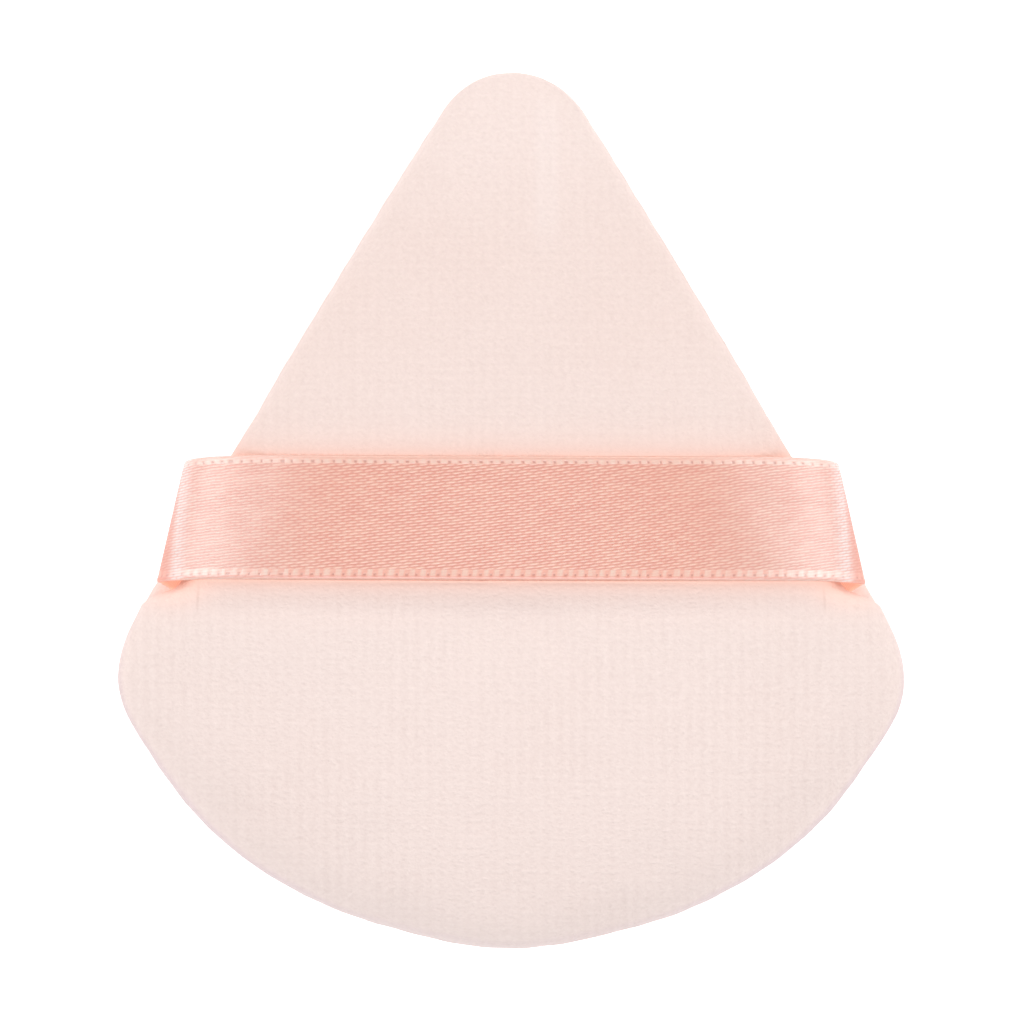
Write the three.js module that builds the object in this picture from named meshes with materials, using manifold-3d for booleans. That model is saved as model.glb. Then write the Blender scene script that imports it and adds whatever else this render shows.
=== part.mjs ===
// A triangular velour powder puff with a satin finger ribbon, in millimetres.
//
// The puff lies on its application side with the ribbon side up and its narrow tip towards +Y.
// Two velour panels are sewn together round the rim, right sides out, with their edges turned in.
// A foam sponge fills them. A satin ribbon crosses the back: each end is caught in a side seam,
// leaves it outwards, folds over and runs flat across the crown, so that two fingers slip under it.
// A lockstitch of a needle thread and a bobbin thread holds the rim, and a ladder stitch closes
// the gap through which the puff was turned and filled.

import * as THREE from 'three';
import { mergeVertices } from 'three/addons/utils/BufferGeometryUtils.js';
import Module from 'manifold-3d';

const solids = await Module();
solids.setup();

// Outline seen from above: a tip arc, long side arcs, corner arcs and a softly pointed base
const puffLength = 80;
const puffWidth = 72;
const tipRadius = 7.8;
const sideBowRadius = 1100;
const cornerRadius = 9.1;
const cornerAboveBase = 24.8;
const baseRadius = 40.9;

// Thickness of the filled puff above and below the plane of the rim seam
const backBulge = 9.4;
const frontBulge = 9.8;
const crownCentreFromTip = 46;
const restFlatDepth = 0.5;
const tipTaperLength = 40;
const tipTaperShare = 0.25;
const crownPower = 3;

// Velour panels and their turned-in rim
const velourThickness = 1.4;
const allowanceThickness = 1.0;
const allowancePastStitch = 1.5;
const seamSetback = 2.2;
const lipHeight = 2.0;
const panelGap = 0.3;
const softClearance = 0.3;

// Satin ribbon
const ribbonWidth = 11.2;
const ribbonThickness = 0.35;
const ribbonPileGap = 0.45;
const ribbonBelowTip = 40.8;
const foldOverhang = 1.6;
const foldLean = THREE.MathUtils.degToRad(12.8);
const foldSag = 0.35;
const foldHeight = 3.4;
const foldRadius = 0.5;
const foldStart = THREE.MathUtils.degToRad(70);
const foldEnd = THREE.MathUtils.degToRad(135);
const liftOffSlope = THREE.MathUtils.degToRad(16);
const shoulderHandleShare = 1 / 3;

// The back panel's lip is pressed in where the ribbon leaves the seam
const ribbonMargin = 0.6;
const dentEase = 4;
const lipLeftAtRibbon = 0.1;
const dentPower = 6;

// Threads
const threadRadius = 0.15;
const threadClearance = 0.15;
const stitchLength = 3.5;
const needleHoleClearance = 0.15;
const loopHalfWidth = 0.25;
const lockOffset = 0.25;
const holeOverrun = 0.4;
const turningGapFromTip = 8;
const turningGapLength = 24;
const ladderStitchLength = 3;

// How finely the curved faces are divided
const tipSteps = 4;
const upperSideSteps = 4;
const cornerSteps = 6;
const baseSteps = 7;
const easeSteps = 2;
const crownRingShares = [0.2, 0.4, 0.56, 0.7, 0.81, 0.89, 0.945, 0.98, 1];
const innerRingShares = [1, 0.975, 0.91, 0.8, 0.64, 0.38];
const lipSteps = 3;
const ribbonRowShares = [-1, -0.5, 0, 0.5, 1];
const ribbonRestShares = [0, 0.3, 0.55, 0.8];
const ribbonSpanShares = [0, 0.25, 0.5, 0.7, 0.86];
const foldSteps = 3;
const underLayerShares = [0.75, 0.5, 0.25, 0];
const tailShares = [0.5, 1];
const searchSteps = 300;
const rimSearchSteps = 240;

// Outline arcs. Each one touches the next, and the left half mirrors the right half.
function joiningArc(first, second, radius) {
  const reachFirst = radius - first.radius;
  const reachSecond = radius - second.radius;
  const dx = second.x - first.x;
  const dy = second.y - first.y;
  const span = Math.hypot(dx, dy);
  const along = (reachFirst ** 2 - reachSecond ** 2 + span ** 2) / (2 * span);
  const off = Math.sqrt(reachFirst ** 2 - along ** 2);
  return {
    x: first.x + (dx * along + dy * off) / span,
    y: first.y + (dy * along - dx * off) / span,
    radius,
  };
}

function angleTo(centre, point) {
  return Math.atan2(point.y - centre.y, point.x - centre.x);
}

const tipArc = { x: 0, y: puffLength / 2 - tipRadius, radius: tipRadius };
const cornerArc = {
  x: puffWidth / 2 - cornerRadius,
  y: cornerAboveBase - puffLength / 2,
  radius: cornerRadius,
};
const baseTip = { x: 0, y: -puffLength / 2, radius: 0 };
const sideArc = joiningArc(tipArc, cornerArc, sideBowRadius);
const baseArc = joiningArc(cornerArc, baseTip, baseRadius);
const crownCentre = { x: 0, y: puffLength / 2 - crownCentreFromTip };

const tipToSide = angleTo(sideArc, tipArc);
const sideToCorner = angleTo(sideArc, cornerArc);
const cornerToBase = angleTo(baseArc, cornerArc);
const stretches = [
  { arc: tipArc, from: Math.PI / 2, to: tipToSide },
  { arc: sideArc, from: tipToSide, to: sideToCorner },
  { arc: cornerArc, from: sideToCorner, to: cornerToBase },
  { arc: baseArc, from: cornerToBase, to: angleTo(baseArc, baseTip) },
];

// A point of the rim, drawn inset from the outline. Distance runs clockwise from the tip.
function stretchLength(stretch, inset) {
  return (stretch.from - stretch.to) * (stretch.arc.radius - inset);
}

function halfRimLength(inset) {
  return stretches.reduce((sum, stretch) => sum + stretchLength(stretch, inset), 0);
}

function halfRimPoint(distance, inset) {
  let left = distance;
  for (const stretch of stretches) {
    const length = stretchLength(stretch, inset);
    if (left <= length) {
      const angle = stretch.from - left / (stretch.arc.radius - inset);
      const nx = Math.cos(angle);
      const ny = Math.sin(angle);
      const reach = stretch.arc.radius - inset;
      return { x: stretch.arc.x + nx * reach, y: stretch.arc.y + ny * reach, nx, ny };
    }
    left -= length;
  }
  return { x: 0, y: baseTip.y + inset, nx: 0, ny: -1 };
}

function rimPoint(distance, inset) {
  const half = halfRimLength(inset);
  const whole = 2 * half;
  const wrapped = ((distance % whole) + whole) % whole;
  if (wrapped <= half) return halfRimPoint(wrapped, inset);
  const twin = halfRimPoint(whole - wrapped, inset);
  return { x: -twin.x, y: twin.y, nx: -twin.nx, ny: twin.ny };
}

function insetPoint(rim, inset) {
  return { x: rim.x - rim.nx * inset, y: rim.y - rim.ny * inset };
}

// Where the ribbon folds and where it enters the side seam
const stitchInset = seamSetback - lipLeftAtRibbon + velourThickness + softClearance
  + threadRadius + needleHoleClearance;
const allowanceEdge = stitchInset + allowancePastStitch;
const ribbonY = puffLength / 2 - ribbonBelowTip;
const sideReachAtRibbon = sideArc.x
  + Math.sqrt(sideArc.radius ** 2 - (ribbonY - sideArc.y) ** 2);
const foldX = sideReachAtRibbon + foldOverhang - foldRadius;
const foldOutward = { x: Math.cos(foldLean), y: Math.sin(foldLean) };
const underLayerHeading = { x: -Math.cos(2 * foldLean), y: -Math.sin(2 * foldLean) };

function foldAxis(row) {
  const across = row * ribbonWidth / 2;
  return { x: foldX - across * Math.tan(foldLean), y: ribbonY + across - foldSag };
}

function foldPoint(row, turn) {
  const axis = foldAxis(row);
  const out = foldRadius * Math.sin(turn);
  return {
    x: axis.x + foldOutward.x * out,
    y: axis.y + foldOutward.y * out,
    z: foldHeight + foldRadius * Math.cos(turn),
  };
}

// How far the under layer runs from a point of the fold to the line inset from the side
function runToInset(point, inset) {
  const dx = point.x - sideArc.x;
  const dy = point.y - sideArc.y;
  const b = dx * underLayerHeading.x + dy * underLayerHeading.y;
  const c = dx ** 2 + dy ** 2 - (sideArc.radius - inset) ** 2;
  return -b - Math.sqrt(b ** 2 - c);
}

function alongSide(point) {
  return (tipToSide - angleTo(sideArc, point)) * sideArc.radius;
}

const foldMiddle = foldPoint(0, foldEnd);
const runToSeam = runToInset(foldMiddle, seamSetback);
const ribbonAtSeam = {
  x: foldMiddle.x + underLayerHeading.x * runToSeam,
  y: foldMiddle.y + underLayerHeading.y * runToSeam,
};
const ribbonAlong = alongSide(ribbonAtSeam);
const dentHalfLength = ribbonWidth / 2 + ribbonMargin;
const dentReach = dentHalfLength + dentEase;

// 1 where the ribbon lies in the seam, 0 away from it
function ribbonNearness(point) {
  const along = alongSide({ x: Math.abs(point.x), y: point.y });
  const away = Math.abs(along - ribbonAlong);
  return 1 - THREE.MathUtils.smoothstep(away, dentHalfLength, dentReach);
}

function seamHalfGap(point) {
  const open = ribbonThickness / 2 + softClearance;
  return THREE.MathUtils.lerp(panelGap / 2, open, ribbonNearness(point));
}

// Columns: the rim points at which every panel and the sponge are divided
function stretchDistances(start, length, steps) {
  return Array.from({ length: steps }, (_, i) => start + length * i / steps);
}

function sideDistances(start, length) {
  const upper = ribbonAlong - dentReach;
  const near = [];
  for (let i = 0; i <= easeSteps; i += 1) {
    const reach = dentReach - dentEase * i / easeSteps;
    near.push(ribbonAlong - reach, ribbonAlong + reach);
  }
  near.push(ribbonAlong - dentHalfLength / 2, ribbonAlong, ribbonAlong + dentHalfLength / 2);
  const clear = length - velourThickness;
  const lower = near.filter((distance) => distance > 0 && distance < clear);
  const distances = [...stretchDistances(0, upper, upperSideSteps), ...lower];
  return distances.sort((a, b) => a - b).map((distance) => start + distance);
}

const tipLength = stretchLength(stretches[0], 0);
const sideLength = stretchLength(stretches[1], 0);
const cornerLength = stretchLength(stretches[2], 0);
const baseLength = stretchLength(stretches[3], 0);
const cornerUpperLength = sideToCorner * cornerRadius;
const cornerStart = tipLength + sideLength;
const baseStart = cornerStart + cornerLength;
const halfDistances = [
  ...stretchDistances(0, tipLength, tipSteps),
  ...sideDistances(tipLength, sideLength),
  ...stretchDistances(cornerStart, cornerUpperLength, cornerSteps / 2),
  ...stretchDistances(cornerStart + cornerUpperLength, cornerLength - cornerUpperLength,
    cornerSteps / 2),
  ...stretchDistances(baseStart, baseLength, baseSteps),
];
const rightColumns = halfDistances.map((distance) => halfRimPoint(distance, 0));
const baseColumn = { x: 0, y: baseTip.y, nx: 0, ny: -1 };
const leftColumns = rightColumns.slice(1).reverse().map((rim) => (
  { x: -rim.x, y: rim.y, nx: -rim.nx, ny: rim.ny }
));
const columns = [...rightColumns, baseColumn, ...leftColumns];

// The crown: a filled form that falls from the middle to the lips at the rim
function crownShare(r) {
  return (1 - r ** crownPower) ** (1 / crownPower);
}

function tipTaper(y) {
  const taperEnd = puffLength / 2;
  return 1 - tipTaperShare * THREE.MathUtils.smoothstep(y, taperEnd - tipTaperLength, taperEnd);
}

function crownHeight(y, r, bottom, top) {
  return bottom + (top - bottom) * tipTaper(y) * crownShare(r);
}

// The share of its reach by which the back panel's rim is pressed in at the ribbon
function dentShareAt(rim, inset, dentDepth) {
  const reach = (rim.x - crownCentre.x) * rim.nx + (rim.y - crownCentre.y) * rim.ny - inset;
  return dentDepth * ribbonNearness(rim) / reach;
}

function crownPlan(rim, r, inset, dentDepth) {
  const edge = insetPoint(rim, inset);
  const share = r * (1 - dentShareAt(rim, inset, dentDepth) * r ** dentPower);
  return {
    x: crownCentre.x + (edge.x - crownCentre.x) * share,
    y: crownCentre.y + (edge.y - crownCentre.y) * share,
  };
}

// Closed bodies built from rings of columns between two end points
function ringBody(firstPole, rings, lastPole, facesUp) {
  const count = columns.length;
  const positions = [firstPole, ...rings.flat(), lastPole].flatMap((p) => [p.x, p.y, p.z]);
  const lastIndex = rings.length * count + 1;
  const index = [];
  const face = (a, b, c) => index.push(...(facesUp ? [a, b, c] : [a, c, b]));
  for (let i = 0; i < count; i += 1) {
    const next = (i + 1) % count;
    face(0, 1 + next, 1 + i);
    for (let ring = 0; ring < rings.length - 1; ring += 1) {
      const here = 1 + ring * count;
      const there = here + count;
      face(here + i, here + next, there + next);
      face(here + i, there + next, there + i);
    }
    const last = 1 + (rings.length - 1) * count;
    face(last + i, last + next, lastIndex);
  }
  return bufferGeometry(positions, index);
}

function bufferGeometry(positions, index) {
  const geometry = new THREE.BufferGeometry();
  geometry.setAttribute('position', new THREE.Float32BufferAttribute(positions, 3));
  geometry.setIndex(index);
  return geometry;
}

// A velour panel: crowned face, rolled lip, turned-in allowance and the inside of the face.
// Side is 1 for the back panel above the seam and -1 for the front panel below it.
function velourPanel({ side, bulge, dentDepth, flatDepth }) {
  const level = (z) => side * Math.min(z, bulge - flatDepth);
  const outerRing = (r) => columns.map((rim) => {
    const plan = crownPlan(rim, r, 0, dentDepth);
    return { ...plan, z: level(crownHeight(plan.y, r, lipHeight, bulge)) };
  });
  const lipRing = (turn) => columns.map((rim) => {
    const lip = crownPlan(rim, 1, 0, dentDepth);
    const seam = insetPoint(rim, seamSetback);
    const out = Math.cos(turn);
    const drop = (lipHeight - seamHalfGap(rim)) * Math.sin(turn);
    return {
      x: seam.x + (lip.x - seam.x) * out,
      y: seam.y + (lip.y - seam.y) * out,
      z: level(lipHeight - drop),
    };
  });
  const allowanceRing = (thickness) => columns.map((rim) => (
    { ...insetPoint(rim, allowanceEdge), z: level(seamHalfGap(rim) + thickness) }
  ));
  const innerRing = (r) => columns.map((rim) => {
    const plan = crownPlan(rim, r, velourThickness, dentDepth);
    const bottom = seamHalfGap(rim) + allowanceThickness;
    return { ...plan, z: level(crownHeight(plan.y, r, bottom, bulge - velourThickness)) };
  });
  const lips = Array.from({ length: lipSteps }, (_, i) => (
    lipRing(Math.PI / 2 * (i + 1) / lipSteps)
  ));
  const rings = [
    ...crownRingShares.map(outerRing),
    ...lips,
    allowanceRing(0),
    allowanceRing(allowanceThickness),
    ...innerRingShares.map(innerRing),
  ];
  const top = { ...crownCentre, z: level(bulge) };
  const inside = { ...crownCentre, z: level(bulge - velourThickness) };
  return ringBody(top, rings, inside, side > 0);
}

// The sponge: it fills both panels and is notched round the rim for the turned-in allowances
const spongeInset = velourThickness + 2 * softClearance;
const notchClearance = allowanceThickness + 2 * threadRadius + threadClearance + softClearance;

function spongeCore(backDent) {
  const notchHalfHeight = (rim) => seamHalfGap(rim) + notchClearance;
  const fillTop = (bulge) => bulge - velourThickness - softClearance;
  const fillRing = (r, side, bulge, dentDepth) => columns.map((rim) => {
    const plan = crownPlan(rim, r, spongeInset, dentDepth);
    const bottom = seamHalfGap(rim) + allowanceThickness;
    const inside = crownHeight(plan.y, r, bottom, bulge - velourThickness);
    return { ...plan, z: side * Math.max(notchHalfHeight(rim), inside - softClearance) };
  });
  const notchRing = (side) => columns.map((rim) => (
    { ...insetPoint(rim, allowanceEdge + softClearance), z: side * notchHalfHeight(rim) }
  ));
  const outwards = [...innerRingShares].reverse();
  const rings = [
    ...outwards.map((r) => fillRing(r, 1, backBulge, backDent)),
    notchRing(1),
    notchRing(-1),
    ...innerRingShares.map((r) => fillRing(r, -1, frontBulge, 0)),
  ];
  const top = { ...crownCentre, z: fillTop(backBulge) };
  const bottom = { ...crownCentre, z: -fillTop(frontBulge) };
  return ringBody(top, rings, bottom, true);
}

// Height of the back panel's face above a point of the plan, for laying the ribbon on it
const dentDepthAtRibbon = seamSetback - lipLeftAtRibbon;
const searchRim = Array.from({ length: rimSearchSteps + 1 }, (_, i) => (
  halfRimPoint(halfRimLength(0) * i / rimSearchSteps, 0)
));

function rimBeyond(x, y) {
  const dx = Math.abs(x) - crownCentre.x;
  const dy = y - crownCentre.y;
  const turned = (rim) => dx * (rim.y - crownCentre.y) - dy * (rim.x - crownCentre.x);
  const passed = searchRim.findIndex((rim, i) => i > 0 && turned(rim) <= 0);
  const found = passed < 0 ? rimSearchSteps : passed;
  const after = searchRim[found];
  const before = searchRim[found - 1];
  const share = turned(before) / (turned(before) - turned(after));
  const mix = (key) => THREE.MathUtils.lerp(before[key], after[key], share);
  return { x: mix('x'), y: mix('y'), nx: mix('nx'), ny: mix('ny') };
}

function backFaceHeight(x, y) {
  const rim = rimBeyond(x, y);
  const reach = Math.hypot(rim.x - crownCentre.x, rim.y - crownCentre.y);
  const away = Math.hypot(x - crownCentre.x, y - crownCentre.y) / reach;
  const dent = dentShareAt(rim, 0, dentDepthAtRibbon);
  let r = away;
  for (let i = 0; i < crownRingShares.length && r < 1; i += 1) {
    r = away / (1 - dent * r ** dentPower);
  }
  return r < 1 ? crownHeight(y, r, lipHeight, backBulge) : 0;
}

// One lengthwise row of the right half of the ribbon, from the middle of the back to its cut end.
// It rests on the back until that falls away too steeply, then rounds a shoulder to the fold.
function ribbonRow(row) {
  const foldBegin = foldPoint(row, foldStart);
  const y = foldBegin.y + foldSag;
  const resting = (x) => backFaceHeight(x, y) + ribbonPileGap + ribbonThickness / 2;
  const step = foldBegin.x / searchSteps;
  let touchX = 0;
  while (resting(touchX) - resting(touchX + step) < step * Math.tan(liftOffSlope)) touchX += step;
  const rest = ribbonRestShares.map((share) => (
    { x: touchX * share, y, z: resting(touchX * share) }
  ));
  const touch = new THREE.Vector2(touchX, resting(touchX));
  const foldTop = new THREE.Vector2(foldBegin.x, foldBegin.z);
  const handle = touch.distanceTo(foldTop) * shoulderHandleShare;
  const ahead = (angle) => new THREE.Vector2(Math.cos(angle), -Math.sin(angle));
  const shoulder = new THREE.CubicBezierCurve(
    touch,
    touch.clone().addScaledVector(ahead(liftOffSlope), handle),
    foldTop.clone().addScaledVector(ahead(foldStart), -handle),
    foldTop,
  );
  const span = ribbonSpanShares.map((share) => {
    const point = shoulder.getPoint(share);
    return { x: point.x, y: y - foldSag * share ** 2, z: point.y };
  });
  const fold = Array.from({ length: foldSteps + 1 }, (_, i) => (
    foldPoint(row, THREE.MathUtils.lerp(foldStart, foldEnd, i / foldSteps))
  ));
  const leave = fold[foldSteps];
  const toSeam = runToInset(leave, seamSetback);
  const toEnd = runToInset(leave, allowanceEdge);
  const onUnderLayer = (run, z) => (
    { x: leave.x + underLayerHeading.x * run, y: leave.y + underLayerHeading.y * run, z }
  );
  const under = underLayerShares.map((share) => (
    onUnderLayer(toSeam * (1 - share), leave.z * share ** (3 / 2))
  ));
  const tail = tailShares.map((share) => onUnderLayer(toSeam + (toEnd - toSeam) * share, 0));
  return [...rest, ...span, ...fold, ...under, ...tail];
}

function ribbonBody() {
  const mirrored = (p) => ({ x: -p.x, y: p.y, z: p.z });
  const rows = ribbonRowShares.map((row) => {
    const right = ribbonRow(row).map((p) => new THREE.Vector3(p.x, p.y, p.z));
    const left = right.slice(1).reverse().map((p) => {
      const twin = mirrored(p);
      return new THREE.Vector3(twin.x, twin.y, twin.z);
    });
    return [...left, ...right];
  });
  const stations = rows[0].length;
  const lastRow = rows.length - 1;
  const normalAt = (row, i) => {
    const along = rows[row][Math.min(i + 1, stations - 1)].clone()
      .sub(rows[row][Math.max(i - 1, 0)]);
    const across = rows[Math.min(row + 1, lastRow)][i].clone()
      .sub(rows[Math.max(row - 1, 0)][i]);
    return along.cross(across).normalize();
  };
  const positions = [];
  for (const face of [1, -1]) {
    rows.forEach((points, row) => points.forEach((point, i) => {
      const moved = point.clone().addScaledVector(normalAt(row, i), face * ribbonThickness / 2);
      positions.push(moved.x, moved.y, moved.z);
    }));
  }
  const below = rows.length * stations;
  const index = [];
  const quad = (a, b, c, d) => index.push(a, b, c, a, c, d);
  for (let i = 0; i < stations - 1; i += 1) {
    for (let row = 0; row < lastRow; row += 1) {
      const a = row * stations + i;
      quad(a, a + 1, a + 1 + stations, a + stations);
      quad(below + a, below + a + stations, below + a + 1 + stations, below + a + 1);
    }
    const far = lastRow * stations + i;
    quad(below + i, below + i + 1, i + 1, i);
    quad(far, far + 1, below + far + 1, below + far);
  }
  for (let row = 0; row < lastRow; row += 1) {
    const a = row * stations;
    const b = a + stations - 1;
    quad(a, a + stations, below + a + stations, below + a);
    quad(below + b, below + b + stations, b + stations, b);
  }
  return bufferGeometry(positions, index);
}

// Threads are square-sectioned runs through points of the seam, each a point of the rim
// curve with a height and the direction across the seam
function seamPoint(distance, height) {
  const rim = rimPoint(distance, stitchInset);
  return {
    at: new THREE.Vector3(rim.x, rim.y, height),
    across: new THREE.Vector3(rim.nx, rim.ny, 0),
  };
}

const threadCorners = [[1, 0], [0, 1], [-1, 0], [0, -1]];

function threadBody(path) {
  const sides = threadCorners.length;
  const positions = [];
  const index = [];
  path.forEach((point, i) => {
    const before = path[Math.max(i - 1, 0)].at;
    const after = path[Math.min(i + 1, path.length - 1)].at;
    const arriving = point.at.clone().sub(before);
    const leaving = after.clone().sub(point.at);
    if (i === 0) arriving.copy(leaving);
    if (i === path.length - 1) leaving.copy(arriving);
    const heading = arriving.normalize().clone().add(leaving.normalize()).normalize();
    const mitre = 1 / heading.dot(arriving);
    const rise = heading.clone().cross(point.across).normalize().multiplyScalar(mitre);
    for (const [across, up] of threadCorners) {
      const corner = point.at.clone()
        .addScaledVector(point.across, across * threadRadius)
        .addScaledVector(rise, up * threadRadius);
      positions.push(corner.x, corner.y, corner.z);
    }
    if (i === 0) return;
    const ring = i * sides;
    const back = ring - sides;
    for (let k = 0; k < sides; k += 1) {
      const next = (k + 1) % sides;
      index.push(back + k, ring + next, ring + k, back + k, back + next, ring + next);
    }
  });
  const end = (path.length - 1) * sides;
  for (let k = 1; k < sides - 1; k += 1) {
    index.push(0, k + 1, k, end, end + k, end + k + 1);
  }
  return bufferGeometry(positions, index);
}

// Lockstitch holes run right round the rim from one end of the turning gap to the other
const stitchCurveLength = 2 * halfRimLength(stitchInset);
const sideStart = stretchLength(stretches[0], stitchInset);
const gapStart = sideStart + turningGapFromTip;
const gapEnd = gapStart + turningGapLength;
const sewnLength = stitchCurveLength - turningGapLength;
const stitchCount = Math.round(sewnLength / stitchLength);
const holeDistances = Array.from({ length: stitchCount + 1 }, (_, i) => (
  gapEnd + sewnLength * i / stitchCount
));

function lockstitchThread(side) {
  const path = [];
  const add = (distance, raised) => {
    const gap = seamHalfGap(rimPoint(distance, stitchInset));
    const surface = gap + allowanceThickness + threadRadius + threadClearance;
    path.push(seamPoint(distance, side * (raised ? surface : lockOffset)));
  };
  holeDistances.forEach((distance, i) => {
    if (i > 0) {
      add(distance - loopHalfWidth, true);
      add(distance - loopHalfWidth, false);
    }
    if (i < stitchCount) {
      add(distance + loopHalfWidth, false);
      add(distance + loopHalfWidth, true);
    }
  });
  return threadBody(path);
}

// The ladder stitch runs in one folded edge, crosses to the other and runs on there
const ladderHeight = panelGap / 2 + threadRadius + threadClearance;
const ladderCount = Math.round(turningGapLength / ladderStitchLength);
const ladderPitch = turningGapLength / ladderCount;

function closingThread() {
  const path = [];
  for (let i = 0; i < ladderCount; i += 1) {
    const height = i % 2 === 0 ? ladderHeight : -ladderHeight;
    const first = gapStart + ladderPitch * i;
    const last = first + ladderPitch;
    const inFromEnd = holeHalfLength + threadRadius;
    path.push(seamPoint(i === 0 ? first + inFromEnd : first, height));
    path.push(seamPoint(i === ladderCount - 1 ? last - inFromEnd : last, height));
  }
  return threadBody(path);
}

// Cutters: an upright block along the seam, centred on a distance round the stitch line
const holeHalfLength = loopHalfWidth + threadRadius + needleHoleClearance;
const holeHalfWidth = threadRadius + needleHoleClearance;
const holeTop = seamHalfGap(ribbonAtSeam) + allowanceThickness + holeOverrun;

function seamBlock(distance, halfLength, halfWidth, low, high) {
  const rim = rimPoint(distance, stitchInset);
  const block = new THREE.BoxGeometry(2 * halfLength, 2 * halfWidth, high - low);
  block.rotateZ(Math.atan2(rim.nx, -rim.ny));
  block.translate(rim.x, rim.y, (low + high) / 2);
  return block;
}

function toSolid(geometry) {
  const bare = geometry.clone();
  bare.deleteAttribute('normal');
  bare.deleteAttribute('uv');
  const merged = mergeVertices(bare);
  return new solids.Manifold(new solids.Mesh({
    numProp: 3,
    vertProperties: new Float32Array(merged.attributes.position.array),
    triVerts: new Uint32Array(merged.index.array),
  }));
}

function fromSolid(solid) {
  const mesh = solid.getMesh();
  return bufferGeometry(Array.from(mesh.vertProperties), Array.from(mesh.triVerts));
}

function cutAway(geometry, blocks) {
  let body = toSolid(geometry);
  for (const block of blocks) body = body.subtract(toSolid(block));
  return fromSolid(body);
}

const needleHoles = holeDistances.map((distance) => (
  seamBlock(distance, holeHalfLength, holeHalfWidth, -holeTop, holeTop)
));

function ladderChannels(side) {
  const depth = ladderHeight + threadRadius + threadClearance;
  const channels = [];
  for (let i = side > 0 ? 0 : 1; i < ladderCount; i += 2) {
    const middle = gapStart + ladderPitch * (i + 1 / 2);
    const halfLength = ladderPitch / 2 + holeHalfWidth;
    const low = side > 0 ? 0 : -depth;
    channels.push(seamBlock(middle, halfLength, holeHalfWidth, low, low + depth));
  }
  return channels;
}

// Materials
function fabric(color, roughness) {
  return new THREE.MeshStandardMaterial({ color, roughness, metalness: 0 });
}

const velour = fabric(0xf6e2db, 0.95);
const foam = fabric(0xf7efe2, 0.9);
const satin = fabric(0xf1bbad, 0.4);
const sewingThread = fabric(0xf3dcd2, 0.6);

// The assembly, with its lowest face at zero height
const powderPuff = new THREE.Group();
powderPuff.position.z = frontBulge - restFlatDepth;

function addPiece(name, geometry, material) {
  const piece = new THREE.Mesh(geometry, material);
  piece.name = name;
  powderPuff.add(piece);
}

const frontPanel = velourPanel({
  side: -1, bulge: frontBulge, dentDepth: 0, flatDepth: restFlatDepth,
});
const backPanel = velourPanel({
  side: 1, bulge: backBulge, dentDepth: dentDepthAtRibbon, flatDepth: 0,
});
addPiece('front_velour_panel', cutAway(frontPanel, [...needleHoles, ...ladderChannels(-1)]), velour);
addPiece('back_velour_panel', cutAway(backPanel, [...needleHoles, ...ladderChannels(1)]), velour);
addPiece('sponge_core', spongeCore(dentDepthAtRibbon), foam);
addPiece('satin_ribbon', cutAway(ribbonBody(), needleHoles), satin);
addPiece('seam_needle_thread', lockstitchThread(1), sewingThread);
addPiece('seam_bobbin_thread', lockstitchThread(-1), sewingThread);
addPiece('closing_thread', closingThread(), sewingThread);

export default powderPuff;
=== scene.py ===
# %% [markdown]
# # A velour powder puff with a satin finger ribbon
#
# The CAD model says how large every piece is, where it sits and what moves. This lesson dresses
# it: velour with a soft pile, a woven satin ribbon, foam and sewing thread. Everything is in
# metres and stays in the CAD model's frame, so nothing has to be fitted by hand.

# %% Load the frame
from math import cos, hypot, pi, radians, sin, sqrt, tan

import bpy
import numpy as np
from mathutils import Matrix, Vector, noise


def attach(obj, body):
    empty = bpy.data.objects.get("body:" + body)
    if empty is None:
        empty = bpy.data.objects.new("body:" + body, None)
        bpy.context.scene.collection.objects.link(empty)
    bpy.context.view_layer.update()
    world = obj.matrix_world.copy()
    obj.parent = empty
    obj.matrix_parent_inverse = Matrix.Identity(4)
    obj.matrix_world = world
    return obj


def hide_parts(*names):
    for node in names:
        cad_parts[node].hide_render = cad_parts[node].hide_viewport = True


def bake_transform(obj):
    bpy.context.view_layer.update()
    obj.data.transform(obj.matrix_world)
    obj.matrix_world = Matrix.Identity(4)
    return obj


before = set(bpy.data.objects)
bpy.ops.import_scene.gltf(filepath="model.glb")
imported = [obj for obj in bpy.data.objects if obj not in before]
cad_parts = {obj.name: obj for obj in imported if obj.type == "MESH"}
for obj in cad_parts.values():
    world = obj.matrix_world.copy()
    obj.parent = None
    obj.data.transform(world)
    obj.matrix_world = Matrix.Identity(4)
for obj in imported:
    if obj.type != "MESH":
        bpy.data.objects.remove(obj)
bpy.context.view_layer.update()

MM = 0.001
print("CAD nodes:", ", ".join(sorted(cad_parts)))

# %% [markdown]
# ## Sizes shared with the solids
#
# A puff is cut from a paper pattern, and its outline is a chain of arcs: a small one at the tip,
# two nearly straight sides, two corners and a wide base. The same named sizes shape the solids.
# They could be measured from the CAD meshes, but a named size can be read and changed.

# %% Sizes of the puff, in millimetres
PUFF_LENGTH = 80.0
PUFF_WIDTH = 72.0
TIP_RADIUS = 7.8
SIDE_BOW_RADIUS = 1100.0
CORNER_RADIUS = 9.1
CORNER_ABOVE_BASE = 24.8
BASE_RADIUS = 40.9
BACK_BULGE = 9.4
FRONT_BULGE = 9.8
CROWN_CENTRE_Y = PUFF_LENGTH / 2 - 46
REST_FLAT = 0.5
SEAM_HEIGHT = FRONT_BULGE - REST_FLAT
TAPER_LENGTH = 40.0
TAPER_SHARE = 0.25
CROWN_POWER = 3.0
VELOUR = 1.4
ALLOWANCE = 1.0
SEAM_SETBACK = 2.2
LIP_HEIGHT = 2.0
PANEL_GAP = 0.3
CLEARANCE = 0.3
THREAD_RADIUS = 0.15
HOLE_CLEARANCE = 0.15
LIP_LEFT = 0.1
STITCH_LENGTH = 3.5
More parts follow.
